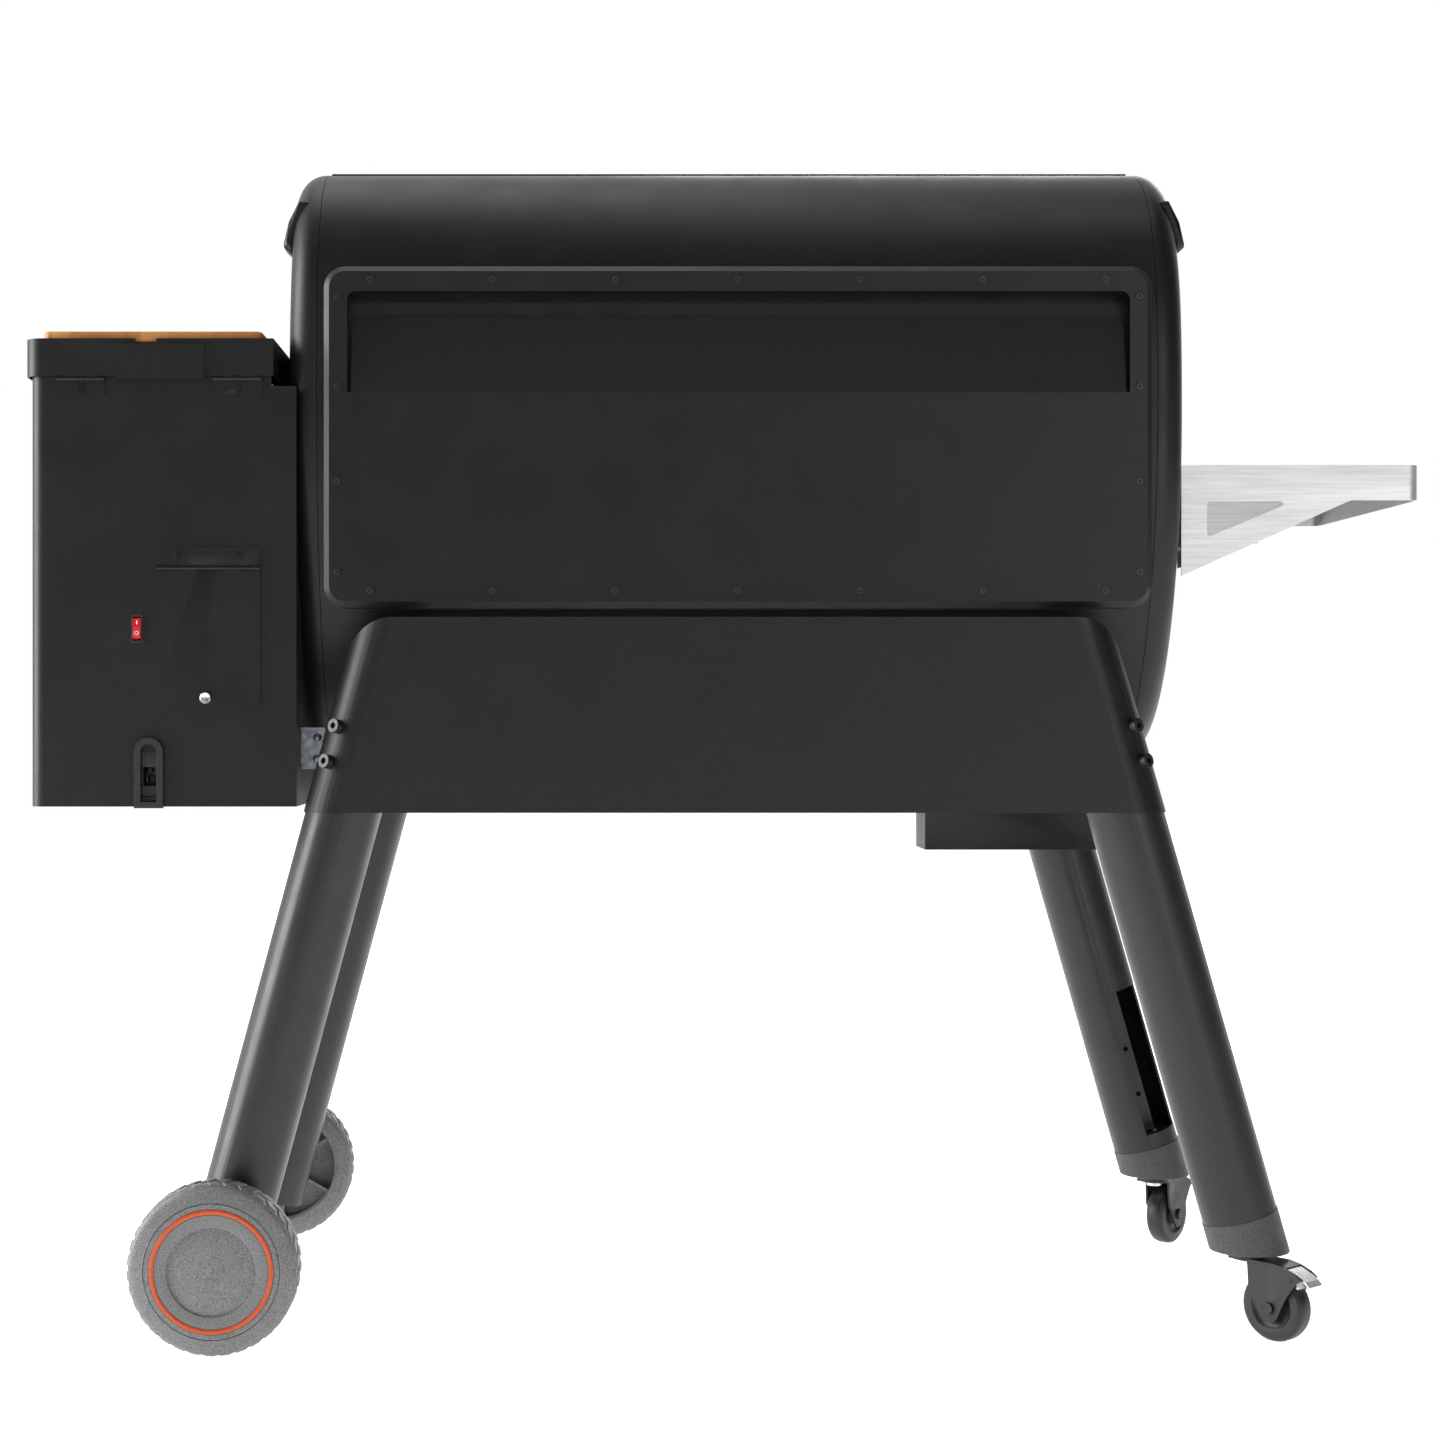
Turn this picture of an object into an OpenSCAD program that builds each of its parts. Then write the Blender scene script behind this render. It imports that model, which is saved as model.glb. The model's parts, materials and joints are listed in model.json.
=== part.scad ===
// Pellet smoker grill: barrel cooking chamber on four splayed legs, pellet hopper
// at the +X end, folded-sheet side shelf at the -X end. The front faces -Y.
// Units are millimetres. The origin is on the floor, under the middle of the grill.

/* [Barrel] */
// Highest point of the hood above the floor
overall_h = 1270; // [1262:1:1276]
// Height of the barrel's widest line above the floor
barrel_mid_z = 984; // [980:1:988]
// Half of the barrel's depth, front to back
barrel_half_d = 224; // [222:0.5:225]
// Drop from the widest line to the underside of the barrel
barrel_drop = 374; // [372:1:376]
// Roundness of the barrel's upper half (2 is an ellipse)
crown_power = 3.0; // [2.6:0.1:3.2]
// Seam between the wrap and the hopper-side end cap
seam_hopper_x = 440; // [436:1:441]
// Seam between the wrap and the shelf-side end cap
seam_shelf_x = -453; // [-454:1:-450]
// Thickness of the barrel's steel sheet
sheet_t = 2; // [1.5:0.5:2]
// How far each end cap bulges past its seam
cap_bulge = 45; // [42:1:46]

/* [Legs and wheels] */
// Outer diameter of a leg tube
leg_d = 79; // [76:1:80]
// Sideways lean of the hopper-side legs, in degrees
lean_hopper = 15.1; // [15:0.1:15.4]
// Sideways lean of the shelf-side legs, in degrees
lean_shelf = 15.9; // [15.7:0.1:16]
// Distance of the leg centres from the middle plane, front and back
leg_y = 216; // [216:1:217]
// Diameter of a large wheel
wheel_d = 177; // [170:1:178]
// Width of a large wheel
wheel_w = 50; // [46:1:50]
// Diameter of a caster wheel
caster_d = 73; // [70:1:74]
// Distance from a caster's swivel axis to its wheel's axle
caster_trail = 34; // [32:1:36]

/* [Hopper] */
// Outer side of the hopper casing
hopper_out_x = 744; // [742:1:744]
// Inner side of the hopper casing, beside the barrel
hopper_in_x = 461; // [460:1:462]
// Half of the casing's depth
hopper_half_d = 227; // [226:0.5:227]
// Underside of the casing
hopper_low_z = 562; // [560:1:564]
// Outer side of the lid
lid_out_x = 749.5; // [748.5:0.5:749.5]
// Top of the lid's rim
lid_top_z = 1058; // [1056:1:1058]

/* [Side shelf] */
// Top of the side shelf
shelf_z = 930; // [926:1:934]
// Outer end of the side shelf
shelf_out_x = -749.5; // [-749.5:0.5:-740]

/* [Hidden] */
$fn = 64;

black = "#232323";
grey = "#8b8c8e";
steel = "#d8d9da";

// Barrel
run = 0.05;                                  // radial clearance of a running fit
outline_steps = 96;                          // points round the barrel's outline
hood_gap = 0.4;                              // gap between hood and wrap
hood_t = 2;                                  // hood sheet
crown_h = overall_h - barrel_mid_z - hood_gap - hood_t;
hood_low_z = 856;                            // hood's lower front edge
hood_lap = 16;                               // lap of hood over wrap, front
hood_lip_y = 76;                             // hood's rear edge
wrap_lip_y = 56;                             // wrap's edge under the hood
end_gap = 1;                                 // gap between hood and end caps
cap_corner_r = 30;
liner_gap = 14;
liner_t = 1.2;

drain_x = -375;
drain_r = 16;
spout_low_z = 557;
slope = 1.5;                                 // drip tray's fall toward the drain, degrees

// Hood pivot
pivot_y = 150;
pivot_z = 1180;
pin_r = 6;
arm_t = 4;
arm_inset = 8;                               // arm's distance inside the seam
arm_in_r = 129;
arm_out_r = 141;
arm_hub_r = 13;
arm_low_a = 224;                             // where the gooseneck starts
arm_top_a = 138;                             // where it meets the hood

// Legs
leg_wall = 2.5;
leg_r = leg_d / 2;
leg_top_z = 738;
hopper_leg_low_z = 62;
leg_ref_z = 555;                             // height at which the x positions below hold
leg_hopper_x = 412;
leg_shelf_x = -420;
apron_t = 1.5;
apron_low_z = 556.5;
apron_top_z = 762;
apron_gap = 0.2;                             // between a leg and the apron round it
apron_back = leg_y + leg_r + apron_gap + apron_t - 0.12;  // outer face of an apron's flat part
bolt_turn = 40;                              // bolts stand this far round the leg
bolt_zs = [603, 640];

// Wheels
axle_z = wheel_d / 2;
wheel_out_y = 317.5;
wheel_in_y = wheel_out_y - wheel_w;
axle_r = 6.35;
ring_in_r = 59;
ring_out_r = 64;
hub_cover_r = 70;

// Casters
stem_x = -552;
sleeve_low_z = 90;
sleeve_top_z = 128;                          // at the leg's axis; the cut is square to it
plug_top_z = 140;                            // top of the sleeve's plug inside the tube
caster_r = caster_d / 2;
caster_w = 25;
rear_caster_turn = 41;                       // trail direction, from +Y toward -X
front_caster_turn = 140;
stem_r = 5;
caster_axle_r = 4;

// Exhaust cover
panel_hi_x = 431.2;
panel_lo_x = -444.4;
panel_low_z = 773;
panel_top_z = 1133.5;
panel_r = 23;
panel_y = 240;                               // rear face of the plate
panel_bevel = 6;
panel_t = 1.5;
louvre_hi_x = 406;
louvre_lo_x = -420;
louvre_low_z = 1000;
louvre_top_z = 1106.5;
flap_lean = 16;                              // how far the flap leans in at its top

// Hopper
casing_t = 1.6;
casing_top_z = 1040;
casing_step_z = 1008;                        // top of the casing's part beside the barrel
casing_r = 16;
lid_in_x = 485;
lid_low_z = 1018.4;
lid_t = 1.6;
lid_back = hopper_half_d + 4;
hinge_y = hopper_half_d + 2.7;
hinge_z = 1015.5;
knuckle_r = 2.5;
hinge_pin_r = 1.2;
lid_hinge_xs = [[663.7, 715.7], [497.3, 549.3]];
board_t = 12;
board_foot_h = 2;
door_hi_x = 609.5;
door_lo_x = 499.3;
door_hinge_z = 815;
door_low_z = 667.7;
door_axis_y = hopper_half_d + 2.4;
door_knuckle_r = 2.2;
knob_x = 556.5;
knob_z = 677.2;
switch_x = 629.8;
switch_z = 750.7;
inlet_x = 617;
panel_mid_x = 603;
panel_mid_z = 905;
dial_z = 864;
button_x = panel_mid_x + 45;
button_r = 8;
panel_back_y = -hopper_half_d + 8.8;         // inner end of the control panel's housing
auger_z = 676;
auger_r = 24;
tube_r = 29;
pot_r = 58;
pot_low_z = 642;
tray_z = 766;
grate_lo_x = -424;
grate_hi_x = 411;

// Side shelf
shelf_back_y = 171;
shelf_front_y = -190;
shelf_lip = 38;
shelf_t = 2;
shelf_in_x = -501;
flange_x = -494;                             // face of the shelf's flanges toward the end cap

// Grease tray
tray_hi_x = -232;
tray_lo_x = -440;
tray_half_d = 38;
tray_low_z = 506;
tray_top_z = 552;
saddle_low_z = 566;

function sgn(v) = v < 0 ? -1 : 1;

// A point of the barrel's outline, d millimetres inside it, at angle a
function barrel_pt(a, d) =
  let (c = cos(a), s = sin(a), p = 2 / crown_power)
  s >= 0
    ? [(barrel_half_d - d) * sgn(c) * pow(abs(c), p), barrel_mid_z + (crown_h - d) * pow(s, p)]
    : [(barrel_half_d - d) * c, barrel_mid_z + (barrel_drop - d) * s];

function lean(side) = side > 0 ? lean_hopper : lean_shelf;

// Centre of a leg at height z; side is 1 for the hopper's, -1 for the shelf's
function leg_x(side, z) =
  (side > 0 ? leg_hopper_x : leg_shelf_x) + side * (leg_ref_z - z) * tan(lean(side));

module barrel_outline(d, steps = outline_steps) {
  polygon([for (i = [0 : steps - 1]) barrel_pt(i * 360 / steps, d)]);
}

// Extrude a (Y, Z) outline along X
module along_x(x0, x1) {
  translate([x0, 0, 0]) rotate([90, 0, 90]) linear_extrude(x1 - x0) children();
}

// Extrude an (X, Z) outline along Y
module along_y(y0, y1) {
  translate([0, y1, 0]) rotate([90, 0, 0]) linear_extrude(y1 - y0) children();
}

module box(x, y, z) {
  translate([x[0], y[0], z[0]]) cube([x[1] - x[0], y[1] - y[0], z[1] - z[0]]);
}

module rod_x(x0, x1, y, z, r) {
  translate([x0, y, z]) rotate([0, 90, 0]) cylinder(h = x1 - x0, r = r);
}

module rod_y(y0, y1, x, z, r) {
  translate([x, y0, z]) rotate([-90, 0, 0]) cylinder(h = y1 - y0, r = r);
}

module rod_z(z0, z1, x, y, r) {
  translate([x, y, z0]) cylinder(h = z1 - z0, r = r);
}

// Rectangle from corner to corner with round corners
module round_rect(x, y, r) {
  translate([x[0] + r, y[0]]) square([x[1] - x[0] - 2 * r, y[1] - y[0]]);
  translate([x[0], y[0] + r]) square([x[1] - x[0], y[1] - y[0] - 2 * r]);
  for (cx = [x[0] + r, x[1] - r], cy = [y[0] + r, y[1] - r]) translate([cx, cy]) circle(r);
}

// ---------- Barrel ----------

// What the hood covers: everything in front of y1, between two heights
module hood_side(y1, z0) {
  box([-600, 600], [-300, y1], [z0, 1400]);
}

module exhaust_slot() {
  along_y(100, 300) round_rect([-380, 370], [806, 832], 12);
}

module barrel_shell() {
  color(black)
  difference() {
    union() {
      along_x(seam_shelf_x, seam_hopper_x)
        difference() {
          barrel_outline(0);
          barrel_outline(sheet_t);
        }
      // Spout over the grease tray
      difference() {
        rod_z(spout_low_z, 630, drain_x, 0, drain_r + 2);
        along_x(-600, 600) barrel_outline(sheet_t / 2);
      }
    }
    hood_side(wrap_lip_y, hood_low_z + hood_lap);
    exhaust_slot();
    rod_z(500, 640, drain_x, 0, drain_r);
  }
}

// Solid dome of an end cap, from its seam outward, d millimetres inside its skin
module cap_solid(side, seam, d) {
  corner_top = 75;
  hull() {
    along_x(min(seam, seam + side * 6), max(seam, seam + side * 6)) barrel_outline(d, 64);
    for (a = [35, corner_top])
      slice_x(seam + side * ((cap_corner_r - d) * sin(a) + 3), cap_corner_r * (1 - cos(a)) + d);
    for (u = [0.4, 0.75])
      slice_x(seam + side * (30 + (cap_bulge - d - 30) * sin(90 * u)), 22 + 150 * u + d);
  }
}

module slice_x(x, d) {
  along_x(x - 0.05, x + 0.05) barrel_outline(d, 64);
}

module cap_shell(side, seam) {
  difference() {
    cap_solid(side, seam, 0);
    cap_solid(side, seam - side * 0.05, sheet_t);
    rod_x(-600, 600, pivot_y, pivot_z, pin_r + run);
  }
}

module end_cap_hopper_side() {
  color(black)
  difference() {
    cap_shell(1, seam_hopper_x);
    rod_x(400, 600, 0, auger_z, tube_r + 1);
  }
}

module end_cap_shelf_side() {
  color(black)
  difference() {
    cap_shell(-1, seam_shelf_x);
    for (p = shelf_bolt_spots()) rod_x(-600, -400, p[0], p[1], 4.3);
  }
}

module barrel_liner() {
  color(grey)
  difference() {
    along_x(seam_shelf_x + 24, seam_hopper_x - 24)
      difference() {
        barrel_outline(liner_gap);
        barrel_outline(liner_gap + liner_t);
      }
    hood_side(300, 1080);
    hood_side(0, hood_low_z);
    exhaust_slot();
    rod_z(580, 680, drain_x, 0, drain_r + 4);
  }
  // Ledges for the lower grate and for the sloping drip tray
  color(grey)
  intersection() {
    along_x(-600, 600) barrel_outline(liner_gap + liner_t / 2);
    for (s = [0, 1]) mirror([0, s, 0]) {
      box([-410, 396], [181, 215], [844, 846.8]);
      translate([-6, 0, tray_z]) rotate([0, -slope, 0]) box([-398, 390], [151, 185], [8, 10]);
    }
  }
}

// ---------- Hood ----------

module hood() {
  color(black)
  difference() {
    along_x(seam_shelf_x + end_gap, seam_hopper_x - end_gap)
      difference() {
        barrel_outline(-hood_gap - hood_t);
        barrel_outline(-hood_gap);
      }
    box([-600, 600], [hood_lip_y, 400], [0, 1400]);
    box([-600, 600], [-400, 400], [0, hood_low_z]);
  }
}

// Gooseneck arm: reaches round the wrap's edge, so it clears it all the way up
module arm_outline() {
  difference() {
    circle(arm_out_r);
    circle(arm_in_r);
    polygon([[0, 0], for (i = [0 : 12]) let (a = arm_low_a + (arm_top_a + 360 - arm_low_a) * i / 12)
      400 * [cos(a), sin(a)]]);
  }
  circle(arm_hub_r);
  rotate(arm_low_a - 2) translate([0, -8]) square([arm_out_r - 1, 12]);
}

module hood_arms() {
  color(grey)
  for (x = [seam_shelf_x + arm_inset, seam_hopper_x - arm_inset - arm_t])
    difference() {
      intersection() {
        translate([x, pivot_y, pivot_z]) rotate([90, 0, 90]) linear_extrude(arm_t) arm_outline();
        along_x(-600, 600) barrel_outline(-hood_gap);
      }
      rod_x(-600, 600, pivot_y, pivot_z, pin_r + run);
    }
}

module hood_pivot_pins() {
  color(steel)
  for (side = [1, -1]) {
    seam = side > 0 ? seam_hopper_x : seam_shelf_x;
    inner = seam - side * (arm_inset + arm_t + 5);
    tip = seam + side * 34;
    rod_x(min(inner, tip), max(inner, tip), pivot_y, pivot_z, pin_r);
    rod_x(min(inner, inner + side * 4), max(inner, inner + side * 4), pivot_y, pivot_z, pin_r + 3);
  }
}

module cover_body(side, seam) {
  hull() {
    for (dy = [-16, 16]) {
      rod_x(min(seam, seam + side * 38), max(seam, seam + side * 38), pivot_y + dy, 1172, 7);
      rod_x(min(seam, seam + side * 41.5), max(seam, seam + side * 41.5), pivot_y + dy, 1169, 3);
      rod_x(min(seam, seam + side * 24), max(seam, seam + side * 24), pivot_y + dy, 1155, 5);
      rod_x(min(seam, seam + side * 25), max(seam, seam + side * 25), pivot_y + dy, 1212, 5);
      rod_x(min(seam, seam + side * 36), max(seam, seam + side * 36), pivot_y + dy, 1190, 5);
    }
  }
}

module hinge_covers() {
  color(black)
  for (side = [1, -1]) {
    seam = side > 0 ? seam_hopper_x : seam_shelf_x;
    difference() {
      cover_body(side, seam, $fn = 24);
      cap_solid(side, seam - side * 0.05, -0.4);
      rod_x(min(seam, seam + side * 35), max(seam, seam + side * 35), pivot_y, pivot_z, pin_r + 1);
    }
  }
}

handle_y = -276;
handle_z = 905;

module hood_handle() {
  color(steel) {
    rod_x(-378, 366, handle_y, handle_z, 12.5);
    for (x = [-378, 366]) translate([x, handle_y, handle_z]) sphere(12.5);
  }
}

module handle_brackets() {
  color(black)
  for (x = [-336, 324])
    difference() {
      union() {
        translate([x - 11, handle_y, handle_z - 19]) cube([22, 80, 38]);
        rod_x(x - 11, x + 11, handle_y, handle_z, 19);
      }
      rod_x(-500, 500, handle_y, handle_z, 12.5 + run);
      along_x(-600, 600) barrel_outline(-hood_gap - hood_t - run);
    }
}

// ---------- Exhaust cover ----------

module panel_outline(inset) {
  round_rect([panel_lo_x + inset, panel_hi_x - inset], [panel_low_z + inset, panel_top_z - inset],
             panel_r - inset);
}

module exhaust_frame() {
  color(black)
  difference() {
    along_y(150, panel_y - panel_bevel) panel_outline(0);
    along_y(149, panel_y) panel_outline(panel_t);
    along_x(-600, 600) barrel_outline(-run);
  }
}

screw_row_x = [for (i = [0 : 6]) 381.5 - 129.2 * i];
screw_side_z = [810, 906, 1006, 1101];
screw_top_z = 1118.5;
screw_low_z = 790.5;

module panel_screw_at() {
  for (x = screw_row_x, z = [screw_low_z, screw_top_z]) translate([x, z]) children();
  for (x = [panel_hi_x - 14.7, panel_lo_x + 14.4], z = screw_side_z) translate([x, z]) children();
}

module exhaust_panel() {
  lean = atan(flap_lean / (louvre_top_z - louvre_low_z - 24));
  flap_h = (louvre_top_z - louvre_low_z - 24) / cos(lean);
  color(black) {
    difference() {
      // Plate with its bevelled edge
      hull() {
        along_y(panel_y - panel_bevel, panel_y - panel_bevel + 0.1) panel_outline(0);
        along_y(panel_y - 0.1, panel_y) panel_outline(panel_bevel);
      }
      along_y(0, panel_y - panel_t) panel_outline(panel_bevel - 1);
      along_y(100, 300) {
        round_rect([louvre_lo_x, louvre_hi_x], [louvre_low_z + 10, louvre_top_z], 9);
        translate([louvre_lo_x, louvre_low_z]) square([louvre_hi_x - louvre_lo_x, 30]);
      }
      along_y(100, 300) panel_screw_at() circle(2.2, $fn = 24);
    }
    // Flap, bent in along its lower edge
    translate([0, panel_y, louvre_low_z]) rotate([lean, 0, 0]) translate([0, 0, -0.6])
      along_y(-panel_t, 0)
        union() {
          round_rect([louvre_lo_x + 4, louvre_hi_x - 4], [20, flap_h], 8);
          translate([louvre_lo_x + 4, 0]) square([louvre_hi_x - louvre_lo_x - 8, 40]);
        }
  }
}

module panel_screws() {
  color(black)
  difference() {
    union() {
      along_y(panel_y + 0.02, panel_y + 1.6) panel_screw_at() circle(3.7);
      along_y(panel_y - 9, panel_y + 0.02) panel_screw_at() circle(2.1);
    }
    along_y(panel_y - 0.4, panel_y + 5) panel_screw_at() circle(1.25, $fn = 6);
  }
}

// ---------- Aprons and legs ----------

// Apron seen from behind: straight top, round shoulders, sides along the legs' outer edges
module apron_outline() {
  reach = leg_r / cos(lean_shelf) + apron_t + 1;
  shoulder = 62;
  shoulder_in = 42;
  edge = function (side, z) leg_x(side, z) + side * reach;
  polygon([
    [edge(-1, apron_low_z), apron_low_z],
    [edge(1, apron_low_z), apron_low_z],
    for (t = [0 : 0.125 : 1]) let (z = apron_top_z - shoulder * (1 - sin(90 * t)))
      [edge(1, apron_top_z - shoulder * (1 - t)) - shoulder_in * (1 - cos(90 * t)), z],
    for (t = [1 : -0.125 : 0]) let (z = apron_top_z - shoulder * (1 - sin(90 * t)))
      [edge(-1, apron_top_z - shoulder * (1 - t)) + shoulder_in * (1 - cos(90 * t)), z]
  ]);
}

// Round bar along a leg's axis
module leg_bar(side, r, z0, z1) {
  translate([leg_x(side, z0), leg_y, z0]) rotate([0, -side * lean(side), 0])
    cylinder(h = (z1 - z0) / cos(lean(side)), r = r);
}

module apron() {
  inner_r = leg_r + apron_gap;
  difference() {
    intersection() {
      along_y(0, 400) apron_outline();
      difference() {
        union() {
          for (side = [1, -1]) leg_bar(side, inner_r + apron_t, 500, 820);
          along_y(leg_y, apron_back) polygon([
            [leg_x(-1, 500), 500], [leg_x(1, 500), 500], [leg_x(1, 820), 820], [leg_x(-1, 820), 820]]);
        }
        for (side = [1, -1]) leg_bar(side, inner_r, 490, 830);
        along_y(leg_y - 100, apron_back - apron_t) polygon([
          [leg_x(-1, 490), 490], [leg_x(1, 490), 490], [leg_x(1, 830), 830], [leg_x(-1, 830), 830]]);
        // The sheet ends on the outer side of the legs
        box([-600, 600], [0, leg_y], [400, 900]);
      }
    }
    bolt_spots() rotate([-90, 0, 0]) cylinder(h = 80, r = 5.2);
  }
  // Return along the top edge
  box([leg_x(-1, apron_top_z) + 50, leg_x(1, apron_top_z) - 50], [apron_back - 16, apron_back - 0.5],
      [apron_top_z - apron_t, apron_top_z - 0.1]);
}

// Places children at each bolt of one apron, +Y pointing out through the leg's wall
module bolt_spots() {
  for (side = [1, -1], z = bolt_zs)
    translate([leg_x(side, z), leg_y, z]) rotate([0, -side * lean(side), 0]) rotate([0, 0, -side * bolt_turn])
      children();
}

module rear_apron() {
  color(black) apron();
}

module front_apron() {
  color(black) mirror([0, 1, 0]) apron();
}

// Socket bolt through apron and tube wall, with its nut inside the tube
module apron_bolt() {
  nut_y = leg_r - leg_wall - 9.2;
  head_y = leg_r + apron_t + 0.4;
  rotate([-90, 0, 0]) difference() {
    union() {
      translate([0, 0, nut_y]) cylinder(h = head_y - nut_y + 1, r = 5);
      translate([0, 0, head_y]) cylinder(h = 8, r = 7.5);
      translate([0, 0, nut_y]) cylinder(h = 8, r = 8.5, $fn = 6);
    }
    translate([0, 0, head_y + 4]) cylinder(h = 10, r = 3.4, $fn = 6);
  }
}

module apron_bolts() {
  color(black) {
    bolt_spots() apron_bolt();
    mirror([0, 1, 0]) bolt_spots() apron_bolt();
  }
}

// Rear leg tube: cut square to its axis at the bottom, level at the top
module leg_tube(side, low_z) {
  difference() {
    intersection() {
      leg_bar(side, leg_r, low_z, 900);
      box([-800, 800], [0, 400], [0, leg_top_z]);
    }
    leg_bar(side, leg_r - leg_wall, 0, 900);
    bolt_spots() rotate([-90, 0, 0]) cylinder(h = 80, r = 5.2);
  }
}

module hopper_leg() {
  difference() {
    leg_tube(1, hopper_leg_low_z);
    rod_y(100, 300, leg_x(1, axle_z), axle_z, axle_r + run);
  }
}

module leg_rear_hopper() {
  color(black) hopper_leg();
}

module leg_front_hopper() {
  color(black) mirror([0, 1, 0]) hopper_leg();
}

module leg_rear_shelf() {
  color(black) leg_tube(-1, sleeve_top_z + 0.02);
}

// The front leg on the shelf side has an opening with a plate for an optional lower shelf
module leg_front_shelf() {
  plate_z = 34;
  plate_h = 216;
  color(black)
  difference() {
    union() {
      mirror([0, 1, 0]) leg_tube(-1, sleeve_top_z + 0.02);
      intersection() {
        leg_frame() union() {
          translate([-16, -2, plate_z]) cube([20, 2, plate_h]);
          translate([3, -2, plate_z]) cube([2, 45, plate_h]);
        }
        mirror([0, 1, 0]) leg_bar(-1, leg_r - leg_wall + 0.2, 0, 900);
      }
    }
    leg_frame() translate([-60, -0.01, plate_z + 2]) cube([63, 60, 180]);
    for (h = [80, 138]) leg_frame() translate([-8, -20, h]) rotate([-90, 0, 0]) cylinder(h = 40, r = 3);
  }
}

// Frame of the front shelf-side leg: +Z up the tube, +Y toward the back
module leg_frame() {
  base_z = 110;
  translate([leg_x(-1, base_z), -leg_y, base_z]) rotate([0, lean_shelf, 0]) children();
}

module leg_end_sleeves() {
  color(grey)
  for (s = [0, 1]) mirror([0, s, 0])
    difference() {
      intersection() {
        union() {
          leg_bar(-1, leg_r + 0.8, 0, sleeve_top_z);
          leg_bar(-1, leg_r - leg_wall - 0.2, 0, plug_top_z);
        }
        box([-800, 0], [-400, 400], [sleeve_low_z, 300]);
      }
      rod_z(0, 300, stem_x, leg_y, stem_r);
    }
}

// Saddles between the aprons, under the barrel; the shelf-side one carries the grease tray's rails
module cradle_saddles() {
  reach = apron_back - apron_t - 0.02;
  foot_t = 2;
  saddle_in = 70;                            // distance of a saddle from the leg's axis
  color(black) {
    for (side = [1, -1]) {
      x = leg_x(side, 640) - side * saddle_in;
      along_x(x - 2, x + 2) difference() {
        translate([-reach, saddle_low_z]) square([2 * reach, 120]);
        barrel_outline(-run);
        round_rect([-200, -60], [saddle_low_z + 12, saddle_low_z + 28], 7);
        round_rect([60, 200], [saddle_low_z + 12, saddle_low_z + 28], 7);
      }
      for (s = [0, 1]) mirror([0, s, 0]) box([x - 2, x + 22], [reach - foot_t, reach], [saddle_low_z, 640]);
    }
    for (s = [0, 1]) mirror([0, s, 0]) {
      box([tray_lo_x, tray_hi_x], [tray_half_d + 9, tray_half_d + 10.5], [tray_top_z - 4, saddle_low_z + 14]);
      box([tray_lo_x, tray_hi_x], [tray_half_d + 1.5, tray_half_d + 10], [tray_top_z - 4, tray_top_z - 2]);
    }
  }
}

// ---------- Wheels ----------

axle_x = leg_x(1, axle_z);

module wheel_axles() {
  color(steel)
  for (s = [1, -1]) mirror([0, s < 0 ? 1 : 0, 0]) {
    rod_y(leg_y - leg_r - 3, wheel_out_y - 9, axle_x, axle_z, axle_r);
    rod_y(leg_y - leg_r - 10, leg_y - leg_r - 3, axle_x, axle_z, 10);
    rod_y(leg_y + leg_r + 1, wheel_in_y + 5, axle_x, axle_z, 10);
  }
}

// Section of a large wheel: radius across, width up (0 is the inner face)
module wheel_section() {
  r = wheel_d / 2;
  polygon([
    [axle_r + run, 6], [16, 6], [18, 30], [hub_cover_r - 6, 30], [hub_cover_r - 4, 0],
    [r - 7, 0], [r - 2, 3], [r, 8], [r, 36], [r - 2, 42], [r - 8, 46], [hub_cover_r + 0.2, 48.5],
    [hub_cover_r + 0.2, 41], [axle_r + run, 41]
  ]);
}

module wheel() {
  translate([axle_x, wheel_in_y, axle_z]) rotate([-90, 0, 0]) {
    rotate_extrude($fn = 96) wheel_section();
    for (i = [0 : 5])
      rotate(i * 60 + 30) translate([15, -1.5, 14]) cube([hub_cover_r - 20, 3, 17]);
  }
}

module hub_cover() {
  translate([axle_x, wheel_in_y, axle_z]) rotate([-90, 0, 0])
    rotate_extrude($fn = 96) polygon([
      [10, 41.2], [hub_cover_r - 0.2, 41.2], [hub_cover_r - 0.2, 48.3], [ring_out_r + 0.1, 48.8],
      [ring_out_r + 0.1, 46], [ring_in_r - 0.1, 46], [ring_in_r - 0.1, 49.2],
      [46, 49.4], [44.5, 48.9], [30, 49.5], [0, wheel_w], [0, 43.5], [10, 43.5]
    ]);
}

module wheel_ring() {
  translate([axle_x, wheel_in_y, axle_z]) rotate([-90, 0, 0])
    rotate_extrude($fn = 96) translate([ring_in_r, 46.1]) square([ring_out_r - ring_in_r, 3.2]);
}

module rear_wheel() {
  color(grey) wheel();
}

module rear_hub_cover() {
  color(grey) hub_cover();
}

module wheel_rings_rear() {
  color("#e06a1c") wheel_ring();
}

module front_wheel() {
  color(grey) mirror([0, 1, 0]) wheel();
}

module front_hub_cover() {
  color(grey) mirror([0, 1, 0]) hub_cover();
}

module wheel_rings_front() {
  color("#e06a1c") mirror([0, 1, 0]) wheel_ring();
}

// ---------- Casters ----------

module caster_stems() {
  color(steel)
  for (s = [1, -1]) {
    rod_z(80, 146, stem_x, s * leg_y, stem_r);
    rod_z(76, 80, stem_x, s * leg_y, 9);
    rod_z(86.2, 89.9, stem_x, s * leg_y, 13);
  }
}

// Children are drawn about the swivel axis, with the trail along +Y
module caster_frame(s, turn) {
  translate([stem_x, s * leg_y, 0]) rotate(turn) children();
}

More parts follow.
